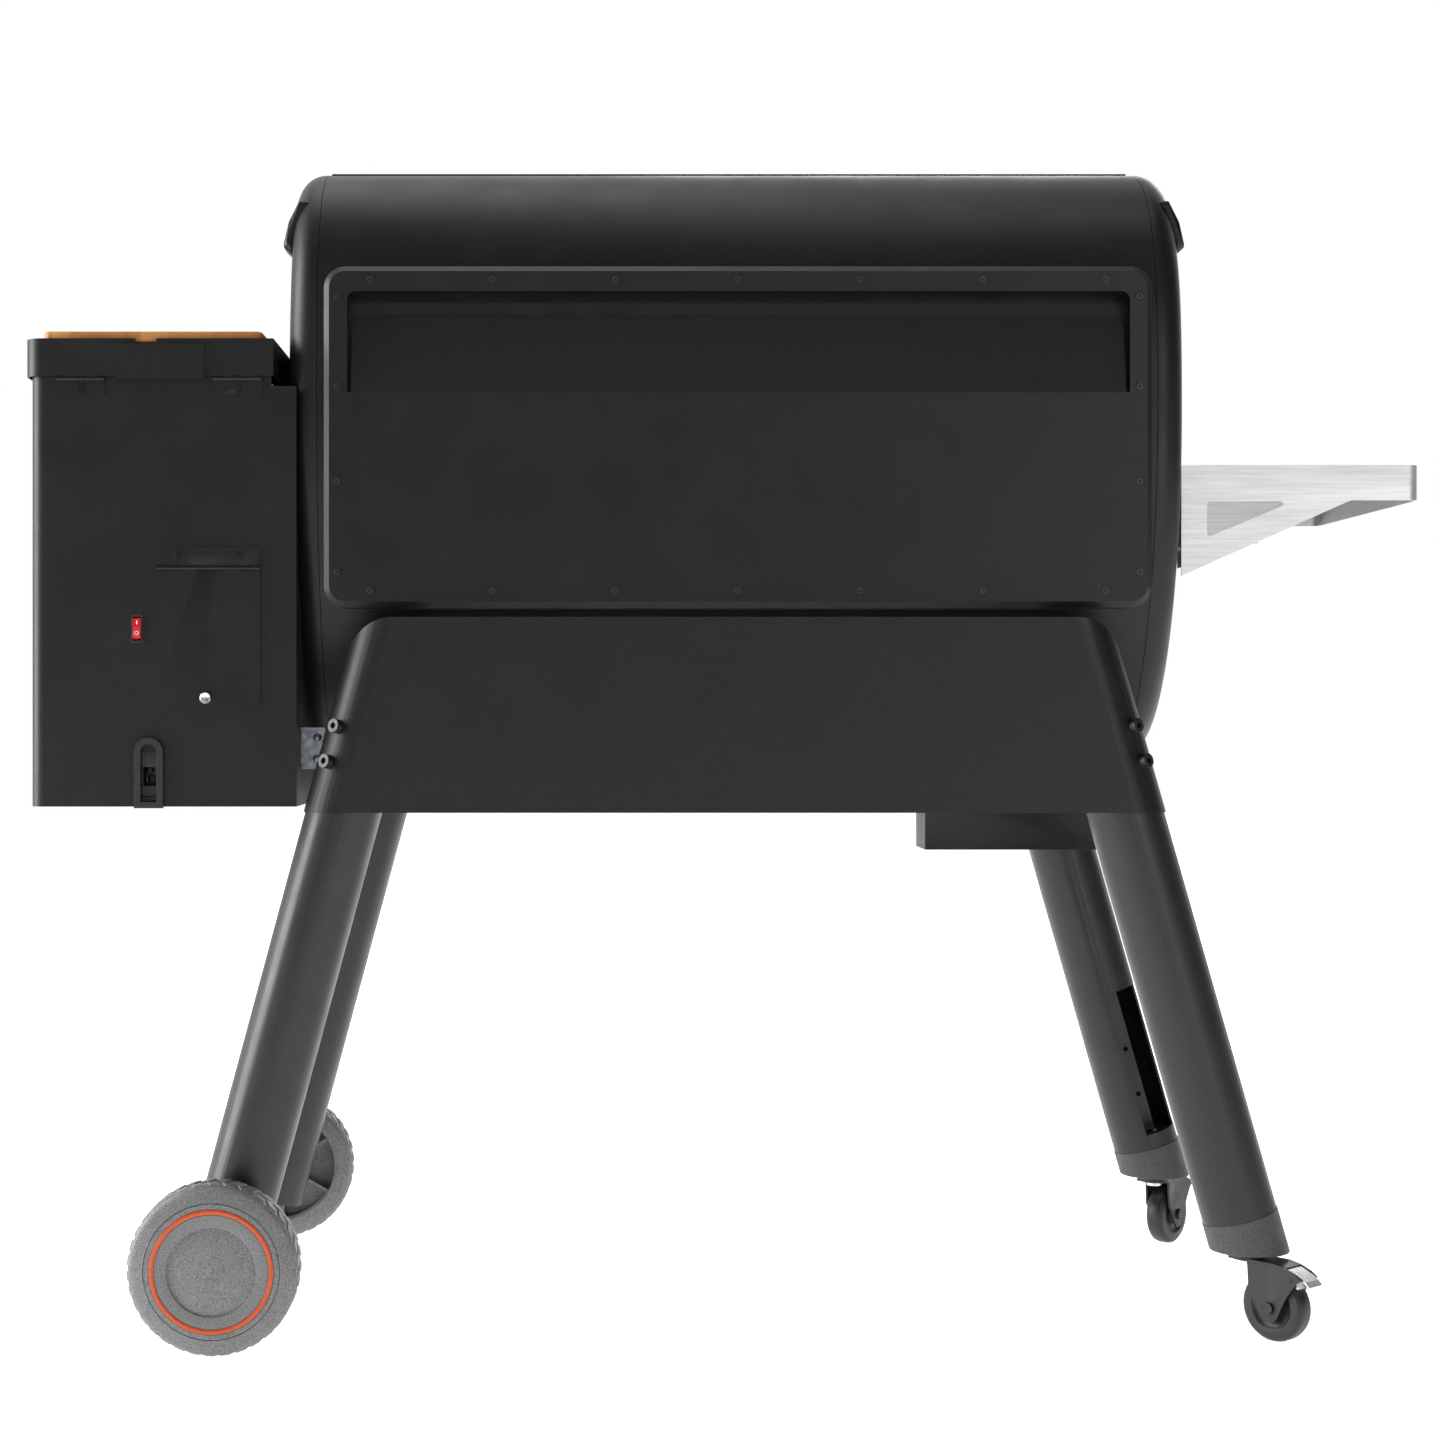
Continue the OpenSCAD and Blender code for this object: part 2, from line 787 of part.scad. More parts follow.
// Two cheeks with a curved hood strip across them
module fork() {
  gap = caster_w / 2 + 1.2;
  wall = 2.5;
  difference() {
    union() {
      rod_z(81.5, 86, 0, 0, 19);
      for (s = [1, -1])
        translate([s > 0 ? gap : -gap - wall, 0, 0]) along_x(0, wall) polygon([
          [8, 84], [40, 84], [54, 81], [66, 76], [73, 71], [66, 66], [54, 48],
          [caster_trail + 10, 27], [caster_trail + 5, 21], [caster_trail - 5, 21], [20, 34], [10, 50]
        ]);
      along_x(-gap - wall, gap + wall)
        polygon([[-15, 81.5], [-15, 84], [40, 84], [54, 81], [53, 78.5], [39, 81.5]]);
    }
    rod_z(70, 90, 0, 0, stem_r + run);
  }
  // Axle, riveted into the cheeks
  rod_x(-gap - wall - 2, gap + wall + 2, caster_trail, caster_r, caster_axle_r);
  for (s = [1, -1])
    rod_x(s > 0 ? gap + wall : -gap - wall - 3.5, s > 0 ? gap + wall + 3.5 : -gap - wall, caster_trail, caster_r, 6.5);
}

module caster_wheel() {
  translate([0, caster_trail, caster_r]) rotate([0, 90, 0])
    rotate_extrude($fn = 72) polygon([
      [caster_axle_r + run, -12.5], [11, -12.5], [12, -9], [20, -9], [24, -11.5], [caster_r - 4, -11],
      [caster_r - 1, -8.5], [caster_r, -5], [caster_r, 5], [caster_r - 1, 8.5],
      [caster_r - 4, 11], [24, 11.5], [20, 9], [12, 9], [11, 12.5], [caster_axle_r + run, 12.5]
    ]);
}

brake_y = 60;
brake_z = 69;

// Flap at the end of the fork's hood, with its shoe behind it, on a pin between the cheeks
module brake_tab() {
  difference() {
    union() {
      along_x(-12, 12) polygon([
        [55.5, 80], [62, 77.3], [70, 73.6], [76, 69.6], [81, 64.8], [79.4, 63.6], [74.8, 68],
        [69, 71.8], [64.5, 73.5], [63.8, 68], [68, 61], [65.6, 60.6], [61, 65], [56.2, 69],
        [57, 75], [55, 77.8]
      ]);
      rod_x(-12, 12, brake_y, brake_z, 4);
    }
    rod_x(-20, 20, brake_y, brake_z, 2 + run);
  }
}

module rear_caster_fork() {
  color(black)
  caster_frame(1, rear_caster_turn) {
    fork();
    rod_x(-17, 17, brake_y, brake_z, 2);
  }
}

module rear_caster_wheel() {
  color(black) caster_frame(1, rear_caster_turn) caster_wheel();
}

module brake_lever() {
  color(steel) caster_frame(1, rear_caster_turn) brake_tab();
}

module front_caster_fork() {
  color(black) caster_frame(-1, front_caster_turn) fork();
}

module front_caster_wheel() {
  color(black) caster_frame(-1, front_caster_turn) caster_wheel();
}

// ---------- Hopper ----------

module casing_outline(inset) {
  x0 = hopper_in_x + inset;
  x1 = hopper_out_x - inset;
  y1 = hopper_half_d - inset;
  r = casing_r - inset;
  translate([x0, -y1]) square([x1 - x0 - r, 2 * y1]);
  translate([x0, -y1 + r]) square([x1 - x0, 2 * (y1 - r)]);
  for (s = [1, -1]) translate([x1 - r, s * (y1 - r)]) circle(r);
}

module hopper_casing() {
  color(black)
  difference() {
    union() {
      difference() {
        translate([0, 0, hopper_low_z]) linear_extrude(casing_top_z - hopper_low_z) casing_outline(0);
        translate([0, 0, hopper_low_z + casing_t]) linear_extrude(600) casing_outline(casing_t);
        // The casing's inner part ends lower, beside the lid
        box([400, lid_in_x + lid_t + 1], [-300, 300], [casing_step_z, 1100]);
      }
      // Nut plate for the clean-out door's thumb screw
      box([545, 568], [hopper_half_d - casing_t - 5, hopper_half_d - casing_t], [672, 683]);
    }
    // The barrel's end cap reaches through the inner side wall
    intersection() {
      along_x(400, 520) barrel_outline(-3);
      box([400, 520], [-225, 225], [500, 1200]);
    }
    // Clean-out opening and its thumb screw's hole
    along_y(200, 300) round_rect([506, 602], [690, 808], 4);
    rod_y(215, 300, knob_x, knob_z, 3.7);
    // Switch opening
    box([switch_x - 5.4, switch_x + 5.4], [200, 300], [switch_z - 14, switch_z + 14]);
    // Mains inlet opening
    box([inlet_x - 9, inlet_x + 9], [200, 300], [572, 620]);
    // Control panel opening
    box([panel_mid_x - 60, panel_mid_x + 60], [-300, -200], [panel_mid_z - 55, panel_mid_z + 50]);
    // Air intake slots in the base
    for (i = [0 : 7]) box([560 + i * 14, 566 + i * 14], [-120, 60], [500, 600]);
  }
}

// Pellet bin: straight sided at the top, narrowing to the auger's trough
module hopper_bin() {
  top = [[492, 738], [-214, 214]];
  wall = 1.2;
  throat = [[498, 688], [-24, 24]];
  color(grey)
  difference() {
    union() {
      box(top[0], top[1], [860, 1010]);
      hull() {
        box(top[0], top[1], [859.9, 860]);
        box(throat[0], throat[1], [726, 726.1]);
      }
      box(throat[0], throat[1], [auger_z + tube_r + 0.6, 726]);
      // Flange between the casing's walls
      intersection() {
        translate([0, 0, 1008.8]) linear_extrude(wall) casing_outline(casing_t + run);
        box([lid_in_x + 1, 800], [-300, 300], [1000, 1100]);
      }
    }
    box([top[0][0] + wall, top[0][1] - wall], [top[1][0] + wall, top[1][1] - wall], [859, 1100]);
    hull() {
      box([top[0][0] + wall, top[0][1] - wall], [top[1][0] + wall, top[1][1] - wall], [859.9, 860.1]);
      box([throat[0][0] + wall, throat[0][1] - wall], [throat[1][0] + wall, throat[1][1] - wall],
          [725.9, 726.2]);
    }
    box([throat[0][0] + wall, throat[0][1] - wall], [throat[1][0] + wall, throat[1][1] - wall], [600, 727]);
  }
}

// Five knuckles of one hinge; the fixed leaf owns the first, third and fifth
function knuckle_span(x0, x1, i) = [x0 + (x1 - x0) * i / 5 + 0.15, x0 + (x1 - x0) * (i + 1) / 5 - 0.15];

module hinge_leaves() {
  leaf_t = 1;
  color(black) {
    for (h = lid_hinge_xs) {
      difference() {
        union() {
          along_y(hopper_half_d + 0.02, hopper_half_d + leaf_t) round_rect(h, [997.5, hinge_z - 1.4], 2);
          for (i = [0, 2, 4]) let (k = knuckle_span(h[0], h[1], i)) rod_x(k[0], k[1], hinge_y, hinge_z, knuckle_r);
        }
        for (i = [1, 3]) let (k = knuckle_span(h[0], h[1], i))
          rod_x(k[0] - 0.2, k[1] + 0.2, hinge_y, hinge_z, knuckle_r + 0.3);
      }
      rod_x(h[0], h[1], hinge_y, hinge_z, hinge_pin_r);
      screw_head((h[0] + h[1]) / 2, 1003.5, hopper_half_d + leaf_t);
    }
    // Upper leaf of the clean-out door
    difference() {
      union() {
        along_y(hopper_half_d + 0.02, hopper_half_d + leaf_t)
          round_rect([door_lo_x, door_hi_x], [door_hinge_z + 1, 837.2], 2);
        for (i = [0, 2, 4]) let (k = knuckle_span(door_lo_x, door_hi_x, i))
          rod_x(k[0], k[1], door_axis_y, door_hinge_z, door_knuckle_r);
      }
      for (i = [1, 3]) let (k = knuckle_span(door_lo_x, door_hi_x, i))
        rod_x(k[0] - 0.2, k[1] + 0.2, door_axis_y, door_hinge_z, door_knuckle_r + 0.3);
    }
    rod_x(door_lo_x, door_hi_x, door_axis_y, door_hinge_z, 1);
    for (x = [522.6, 586.7]) screw_head(x, 828.7, hopper_half_d + leaf_t);
  }
}

// Low round screw head with a hexagon socket
module screw_head(x, z, y) {
  difference() {
    rod_y(y - 0.1, y + 1.8, x, z, 3.6);
    translate([x, y + 0.5, z]) rotate([-90, 0, 0]) cylinder(h = 5, r = 1.5, $fn = 6);
  }
}

module lid_outline(inset) {
  x0 = lid_in_x + inset;
  x1 = lid_out_x - inset;
  r = casing_r + 4 - inset;
  translate([x0, -lid_back + inset]) square([x1 - x0 - r, 2 * (lid_back - inset)]);
  translate([x0, -lid_back + inset + r]) square([x1 - x0, 2 * (lid_back - inset - r)]);
  for (s = [1, -1]) translate([x1 - r, s * (lid_back - inset - r)]) circle(r);
}

lid_ledge_z = lid_top_z - 5;
board_x = [498, 731];
board_y = 222;

module hopper_lid() {
  tab_t = 2.6;
  color(black)
  difference() {
    union() {
      difference() {
        translate([0, 0, lid_low_z]) linear_extrude(lid_top_z - lid_low_z) lid_outline(0);
        translate([0, 0, lid_low_z - 1]) linear_extrude(60) lid_outline(lid_t);
      }
      // Sunk sheet that carries the board
      translate([0, 0, lid_ledge_z - lid_t]) linear_extrude(lid_t) lid_outline(lid_t - 0.1);
      // Stop tab
      box([558, 653], [lid_back - 0.2, lid_back + tab_t], [1014.5, 1052]);
      // Moving knuckles and the leaf tongues that join them to the skirt
      for (h = lid_hinge_xs, i = [1, 3]) let (k = knuckle_span(h[0], h[1], i)) {
        rod_x(k[0], k[1], hinge_y, hinge_z, knuckle_r);
        box(k, [lid_back - lid_t, lid_back - 0.2], [hinge_z, lid_low_z + 1]);
      }
    }
    for (h = lid_hinge_xs) rod_x(h[0] - 1, h[1] + 1, hinge_y, hinge_z, hinge_pin_r + run);
    // Finger notch in the back of the rim
    box([609, 631], [180, 260], [lid_ledge_z, 1100]);
  }
}

module cutting_board() {
  color("#c8873f") {
    hull() {
      for (x = [board_x[0] + 9, board_x[1] - 9], s = [1, -1])
        translate([x, s * (board_y - 9), lid_ledge_z + board_foot_h]) {
          cylinder(h = board_t - 3, r = 9, $fn = 24);
          cylinder(h = board_t, r = 6, $fn = 24);
        }
    }
    for (x = [board_x[0] + 7, board_x[1] - 6], s = [1, -1])
      rod_z(lid_ledge_z, lid_ledge_z + board_foot_h + 0.1, x, s * (board_y - 9), 5);
  }
}

module cleanout_door() {
  color(black)
  difference() {
    union() {
      along_y(hopper_half_d + 0.15, hopper_half_d + 1.6) {
        round_rect([door_lo_x, door_hi_x], [door_low_z, 790], 6);
        translate([door_lo_x, 780]) square([door_hi_x - door_lo_x, door_hinge_z - 780 - 1]);
      }
      for (i = [1, 3]) let (k = knuckle_span(door_lo_x, door_hi_x, i))
        rod_x(k[0], k[1], door_axis_y, door_hinge_z, door_knuckle_r);
    }
    for (i = [0, 2, 4]) let (k = knuckle_span(door_lo_x, door_hi_x, i))
      rod_x(k[0] - 0.2, k[1] + 0.2, door_axis_y, door_hinge_z, door_knuckle_r + 0.3);
    rod_x(door_lo_x - 1, door_hi_x + 1, door_axis_y, door_hinge_z, 1 + run);
    rod_y(200, 260, knob_x, knob_z, 2.5 + run);
  }
}

module cleanout_knob() {
  color(steel) {
    rod_y(hopper_half_d + 1.8, hopper_half_d + 9, knob_x, knob_z, 6.35);
    rod_y(hopper_half_d + 9, hopper_half_d + 9.8, knob_x, knob_z, 5.4);
    rod_y(hopper_half_d - 5, hopper_half_d + 1.8, knob_x, knob_z, 2.5);
    rod_y(hopper_half_d - 5, hopper_half_d - 4, knob_x, knob_z, 2.9);
  }
}

rocker_y = hopper_half_d - 3;
rocker_tilt = 8;

module switch_bezel() {
  color(black)
  difference() {
    union() {
      box([switch_x - 6.3, switch_x + 6.3], [hopper_half_d + 0.02, hopper_half_d + 1.8],
          [switch_z - 15.3, switch_z + 15.3]);
      box([switch_x - 5.3, switch_x + 5.3], [hopper_half_d - 22, hopper_half_d + 0.1],
          [switch_z - 13.9, switch_z + 13.9]);
    }
    box([switch_x - 4.5, switch_x + 4.5], [hopper_half_d - 14, hopper_half_d + 5],
        [switch_z - 12.6, switch_z + 12.6]);
    rod_x(switch_x - 5.2, switch_x + 5.2, rocker_y, switch_z, 1.2 + run);
  }
}

// Tilted so that its lower half stands out; it tips the other way when pressed there
module switch_rocker() {
  color("#c8141c") {
    translate([0, rocker_y, switch_z]) rotate([rocker_tilt, 0, 0])
      along_x(switch_x - 4.2, switch_x + 4.2)
        polygon([
          [-3, -4], [0, -11], [3, -11.6], [6.8, -10], [5.8, 0], [6.8, 10], [3, 11.6], [0, 11], [-3, 4]
        ]);
    rod_x(switch_x - 5.1, switch_x + 5.1, rocker_y, switch_z, 1.2);
  }
}

module arch(half_w, z0, z1) {
  translate([inlet_x - half_w, z0]) square([2 * half_w, z1 - z0 - half_w]);
  translate([inlet_x, z1 - half_w]) circle(half_w);
}

module cord_inlet() {
  color(black)
  difference() {
    union() {
      along_y(hopper_half_d + 0.02, hopper_half_d + 6) arch(15.3, 560.5, 635.3);
      box([inlet_x - 8.9, inlet_x + 8.9], [hopper_half_d - 26, hopper_half_d + 0.1], [572.1, 619.9]);
    }
    along_y(hopper_half_d - 4, hopper_half_d + 10) arch(8.4, 567, 628.5);
    // Socket mouth with its three pins
    box([inlet_x - 7, inlet_x + 7], [hopper_half_d - 20, hopper_half_d - 3], [584, 604]);
  }
  color(steel)
  for (p = [[-3.5, 589], [3.5, 589], [0, 598]])
    box([inlet_x + p[0] - 1, inlet_x + p[0] + 1], [hopper_half_d - 20.1, hopper_half_d - 8], [p[1], p[1] + 4]);
}

// Control panel on the hopper's front
module control_panel() {
  face = -hopper_half_d - 9;
  color(black)
  difference() {
    union() {
      along_y(face, -hopper_half_d - 0.05)
        round_rect([panel_mid_x - 78, panel_mid_x + 78], [panel_mid_z - 76, panel_mid_z + 64], 12);
      box([panel_mid_x - 58, panel_mid_x + 58], [-hopper_half_d - 1, panel_back_y],
          [panel_mid_z - 53, panel_mid_z + 48]);
    }
    // Display window
    along_y(face - 1, face + 2) round_rect([panel_mid_x - 56, panel_mid_x + 56], [panel_mid_z - 4, panel_mid_z + 46], 5);
    // Dial shaft and button holes
    rod_y(face - 1, -hopper_half_d + 4, panel_mid_x, dial_z, 4 + run);
    rod_y(face - 1, -hopper_half_d + 20, button_x, dial_z, button_r + run);
  }
}

module control_dial() {
  face = -hopper_half_d - 9;
  color(steel) {
    rod_y(face - 17, face - 0.6, panel_mid_x, dial_z, 21);
    rod_y(face - 1, -hopper_half_d + 3, panel_mid_x, dial_z, 4);
  }
}

module control_button() {
  face = -hopper_half_d - 9;
  back = panel_back_y + 1.6;
  color(grey) {
    rod_y(face - 3, back, button_x, dial_z, button_r);
    // Flange that keeps it in
    rod_y(panel_back_y + 0.05, back, button_x, dial_z, button_r + 1.5);
  }
}

// ---------- Fire and feed ----------

module auger_tube() {
  color(grey)
  difference() {
    union() {
      rod_x(pot_r + 3, 694, 0, auger_z, tube_r);
      box([690, 694], [-34, 34], [auger_z - 34, auger_z + 34]);
    }
    rod_x(0, 692, 0, auger_z, tube_r - 1.5);
    rod_x(680, 700, 0, auger_z, 7.5);
    box([502, 688], [-20, 20], [auger_z + 10, 760]);
  }
}

module auger() {
  pitch = 44;
  turns = 13;
  color(steel) {
    translate([86, 0, auger_z]) rotate([90, 0, 90])
      linear_extrude(pitch * turns, twist = -360 * turns, slices = 8 * turns, $fn = 8)
        translate([0, -2]) square([auger_r, 4]);
    rod_x(78, 722, 0, auger_z, 7);
  }
}

module auger_motor() {
  color(grey)
  difference() {
    box([696, 738], [-32, 32], [auger_z - 30, auger_z + 34]);
    rod_x(690, 726, 0, auger_z, 7 + run);
  }
}

fan_x = 600;
fan_y = -60;

module fan_housing() {
  color(grey)
  difference() {
    union() {
      rod_z(hopper_low_z + casing_t + 0.02, 616, fan_x, fan_y, 52);
      box([fan_x - 100, fan_x], [fan_y - 50, fan_y - 8], [572, 610]);
    }
    rod_z(568, 614, fan_x, fan_y, 50);
    box([fan_x - 101, fan_x], [fan_y - 48, fan_y - 10], [574, 608]);
    rod_z(560, 570, fan_x, fan_y, 30);
    rod_z(610, 620, fan_x, fan_y, 3);
  }
  color(grey)
  difference() {
    rod_z(616.2, 642, fan_x, fan_y, 22);
    rod_z(610, 630, fan_x, fan_y, 2.5 + run);
  }
}

module fan_impeller() {
  color(grey) {
    rod_z(572, 574, fan_x, fan_y, 42);
    rod_z(572, 628, fan_x, fan_y, 2.5);
    rod_z(572, 590, fan_x, fan_y, 8);
    for (i = [0 : 11])
      translate([fan_x, fan_y, 574]) rotate(i * 30) translate([24, -1, -0.1]) cube([17, 2, 32]);
  }
}

module firepot() {
  color(grey) {
    difference() {
      rod_z(pot_low_z, pot_low_z + 78, 0, 0, pot_r);
      rod_z(pot_low_z + 3, pot_low_z + 90, 0, 0, pot_r - 3);
      rod_x(0, 100, 0, auger_z, tube_r - 1);
      for (i = [1 : 5]) translate([0, 0, pot_low_z + 66]) rotate(i * 60) rotate([0, 90, 0]) cylinder(h = 100, r = 5);
    }
    // Feet on the liner
    for (s = [1, -1]) box([-30, 30], [s * 40 - 1.5, s * 40 + 1.5], [632.6, pot_low_z + 1]);
    // Heat baffle on its four posts
    difference() {
      box([-110, 110], [-100, 100], [pot_low_z + 98, pot_low_z + 102]);
      box([-107, 107], [-97, 97], [pot_low_z + 100, pot_low_z + 110]);
    }
    for (sx = [1, -1], sy = [1, -1]) rod_z(pot_low_z + 70, pot_low_z + 99, sx * 38, sy * 41.5, 3.2);
  }
  // Igniter rod
  color(steel) rod_x(-pot_r - 60, -pot_r + 20, 0, pot_low_z + 14, 4.5);
}

module drip_tray() {
  color(grey)
  translate([-6, 0, tray_z]) rotate([0, -slope, 0])
    difference() {
      union() {
        box([-396, 388], [-148, 148], [0, 12]);
        box([-396, 388], [-160, 160], [10.2, 12]);
      }
      box([-394, 386], [-146, 146], [1.5, 40]);
      // Slot over the drain
      box([-382, -356], [-60, 60], [-5, 5]);
    }
}

// Rods front to back, welded into a frame of round bars
module grate(half_d, z, pitch) {
  x0 = grate_lo_x;
  x1 = grate_hi_x;
  count = floor((x1 - x0) / pitch);
  for (y = [-half_d, half_d]) box([x0, x1], [y - 3, y + 3], [z - 3, z + 3]);
  for (x = [x0 + 3, x1 - 3]) box([x - 3, x + 3], [-half_d, half_d], [z - 3, z + 3]);
  for (i = [1 : count - 1]) box([x0 + i * pitch - 2, x0 + i * pitch + 2], [-half_d, half_d], [z - 1, z + 3]);
}

module lower_grate() {
  color(grey) grate(184, 850, 27);
}

module upper_grate() {
  color(grey) {
    grate(88, 1010, 27);
    for (x = [grate_lo_x + 3, grate_hi_x - 3], y = [-85, 85]) box([x - 3, x + 3], [y - 3, y + 3], [853.2, 1008]);
  }
}

// ---------- Grease tray ----------

module grease_tray() {
  color(black) {
    difference() {
      box([tray_lo_x, tray_hi_x], [-tray_half_d, tray_half_d], [tray_low_z, tray_top_z]);
      box([tray_lo_x + 1.5, tray_hi_x - 1.5], [-tray_half_d + 1.5, tray_half_d - 1.5],
          [tray_low_z + 1.5, tray_top_z + 10]);
    }
    // Rims that hang on the rails
    for (s = [1, -1])
      box([tray_lo_x, tray_hi_x], s > 0 ? [tray_half_d - 1, tray_half_d + 8] : [-tray_half_d - 8, -tray_half_d + 1],
          [tray_top_z - 1.5, tray_top_z]);
  }
}

// ---------- Side shelf ----------

function shelf_bolt_spots() = [for (y = [150, -168], z = [842, 912]) [y, z]];

// Gusset at one end of the shelf: deep at the barrel, with a triangular cut-out
module gusset_outline() {
  difference() {
    polygon([
      [-491, shelf_z], [shelf_out_x + 12, shelf_z], [shelf_out_x + 12, shelf_z - shelf_lip],
      [-675, shelf_z - shelf_lip], [-491, shelf_z - 120]
    ]);
    hull() {
      translate([-522, shelf_z - 42]) circle(3);
      translate([-598, shelf_z - 42]) circle(3);
      translate([-522, shelf_z - 74]) circle(3);
    }
  }
}

module shelf_outline(inset) {
  r = 12;
  x0 = shelf_out_x + inset;
  y0 = shelf_front_y + inset;
  y1 = shelf_back_y - inset;
  translate([x0 + r, y0]) square([shelf_in_x - x0 - r, y1 - y0]);
  translate([x0, y0 + r]) square([20, y1 - y0 - 2 * r]);
  for (y = [y0 + r, y1 - r]) translate([x0 + r, y]) circle(r);
}

module side_shelf() {
  color(steel)
  difference() {
    union() {
      difference() {
        translate([0, 0, shelf_z - shelf_lip]) linear_extrude(shelf_lip) shelf_outline(0);
        translate([0, 0, shelf_z - shelf_lip - 1]) linear_extrude(shelf_lip - shelf_t + 1) shelf_outline(shelf_t);
      }
      along_y(shelf_back_y - shelf_t, shelf_back_y) gusset_outline();
      along_y(shelf_front_y, shelf_front_y + shelf_t) gusset_outline();
      // Flanges against the end cap
      box([flange_x - shelf_t, flange_x], [140, shelf_back_y], [shelf_z - 110, shelf_z]);
      box([flange_x - shelf_t, flange_x], [shelf_front_y, -159], [shelf_z - 110, shelf_z]);
      // Tool hooks along the front edge
      for (x = [-560, -612, -664]) {
        box([x - 6, x + 6], [shelf_front_y, shelf_front_y + 14], [shelf_z - 60, shelf_z - 58]);
        box([x - 6, x + 6], [shelf_front_y, shelf_front_y + 2], [shelf_z - 60, shelf_z - 36]);
        box([x - 6, x + 6], [shelf_front_y + 12, shelf_front_y + 14], [shelf_z - 60, shelf_z - 50]);
      }
    }
    for (p = shelf_bolt_spots()) rod_x(-520, -480, p[0], p[1], 4.3);
  }
}

module shelf_bolts() {
  color(steel)
  for (p = shelf_bolt_spots()) {
    rod_x(flange_x - 6, -474, p[0], p[1], 4);
    rod_x(flange_x - shelf_t - 6, flange_x - shelf_t - 0.05, p[0], p[1], 8);
    rod_x(flange_x + 11.5, flange_x + 17.5, p[0], p[1], 7);
  }
}

barrel_shell();
end_cap_hopper_side();
end_cap_shelf_side();
barrel_liner();
hood();
hood_arms();
hood_pivot_pins();
hinge_covers();
hood_handle();
handle_brackets();
exhaust_frame();
exhaust_panel();
panel_screws();
rear_apron();
front_apron();
apron_bolts();
cradle_saddles();
leg_rear_hopper();
leg_front_hopper();
leg_rear_shelf();
leg_front_shelf();
leg_end_sleeves();
wheel_axles();
rear_wheel();
rear_hub_cover();
front_wheel();
front_hub_cover();
wheel_rings_rear();
wheel_rings_front();
caster_stems();
rear_caster_fork();
rear_caster_wheel();
brake_lever();
front_caster_fork();
front_caster_wheel();
hopper_casing();
hopper_bin();
hinge_leaves();
hopper_lid();
cutting_board();
cleanout_door();
cleanout_knob();
switch_bezel();
switch_rocker();
cord_inlet();
control_panel();
control_dial();
control_button();
auger_tube();
auger();
auger_motor();
fan_housing();
fan_impeller();
firepot();
drip_tray();
lower_grate();
upper_grate();
grease_tray();
side_shelf();
shelf_bolts();
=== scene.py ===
"""Pellet smoker grill: the visual model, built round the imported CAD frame.

Sizes in the tables below are millimetres in the row frame and are turned to metres where a mesh is made.
+X is the hopper end, +Y the back, +Z up.
"""

import json
import math

import bmesh
import bpy
from mathutils import Matrix, Vector

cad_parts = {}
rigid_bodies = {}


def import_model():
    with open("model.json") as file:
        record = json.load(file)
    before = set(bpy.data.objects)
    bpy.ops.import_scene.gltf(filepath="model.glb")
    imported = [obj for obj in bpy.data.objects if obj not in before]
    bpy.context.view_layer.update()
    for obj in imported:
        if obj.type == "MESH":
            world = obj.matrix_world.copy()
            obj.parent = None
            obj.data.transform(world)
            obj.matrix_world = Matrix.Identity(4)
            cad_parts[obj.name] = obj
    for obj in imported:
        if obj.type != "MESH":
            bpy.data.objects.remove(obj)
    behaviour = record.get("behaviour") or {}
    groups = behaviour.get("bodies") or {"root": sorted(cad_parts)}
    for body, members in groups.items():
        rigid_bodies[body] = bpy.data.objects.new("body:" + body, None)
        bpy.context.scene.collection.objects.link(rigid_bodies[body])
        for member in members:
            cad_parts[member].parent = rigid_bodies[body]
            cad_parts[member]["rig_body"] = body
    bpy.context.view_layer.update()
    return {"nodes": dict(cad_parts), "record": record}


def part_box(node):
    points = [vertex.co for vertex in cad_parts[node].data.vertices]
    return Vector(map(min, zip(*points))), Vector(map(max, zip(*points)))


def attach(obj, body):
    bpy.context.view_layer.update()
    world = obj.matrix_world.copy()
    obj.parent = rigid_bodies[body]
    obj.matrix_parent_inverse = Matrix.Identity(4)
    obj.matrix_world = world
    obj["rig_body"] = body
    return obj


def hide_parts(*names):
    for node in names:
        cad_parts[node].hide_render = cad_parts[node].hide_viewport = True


MM = 0.001
WELD = 1e-6  # points closer than this many metres are one point
SHARP = 32  # a bend over this many degrees is an edge
FLAT = 0.4  # faces within this many degrees are one face
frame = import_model()
NODES = frame["nodes"]

# ---------- Camera: square to the back, from a standing distance ----------

camera = bpy.data.objects.new("camera", bpy.data.cameras.new("camera"))
bpy.context.scene.collection.objects.link(camera)
camera.location = (0.156, 2.8075, 0.656)
camera.rotation_euler = (math.radians(90), 0, math.radians(180))
camera.data.sensor_width = 36
camera.data.lens = 60.85
camera.data.shift_x = 0.0944
camera.data.shift_y = -0.0014
camera.data.clip_end = 100
bpy.context.scene.camera = camera
bpy.context.scene.view_settings.view_transform = "Standard"

# ---------- Small helpers ----------


def srgb(code):
    """A hex colour as linear RGBA."""
    parts = [int(code[i : i + 2], 16) / 255 for i in (1, 3, 5)]
    return tuple(c / 12.92 if c <= 0.04045 else ((c + 0.055) / 1.055) ** 2.4 for c in parts) + (1.0,)


def add(tree, kind, links=None, **settings):
    """Adds one node: settings are attributes or socket values, links are socket: source socket."""
    n = tree.nodes.new(kind)
    for key, value in settings.items():
        if hasattr(n, key):
            setattr(n, key, value)
        else:
            n.inputs[key.replace("_", " ")].default_value = value
    for key, source in (links or {}).items():
        tree.links.new(source, n.inputs[key])
    return n


def new_object(name, mesh):
    o = bpy.data.objects.new(name, mesh)
    bpy.context.scene.collection.objects.link(o)
    return o


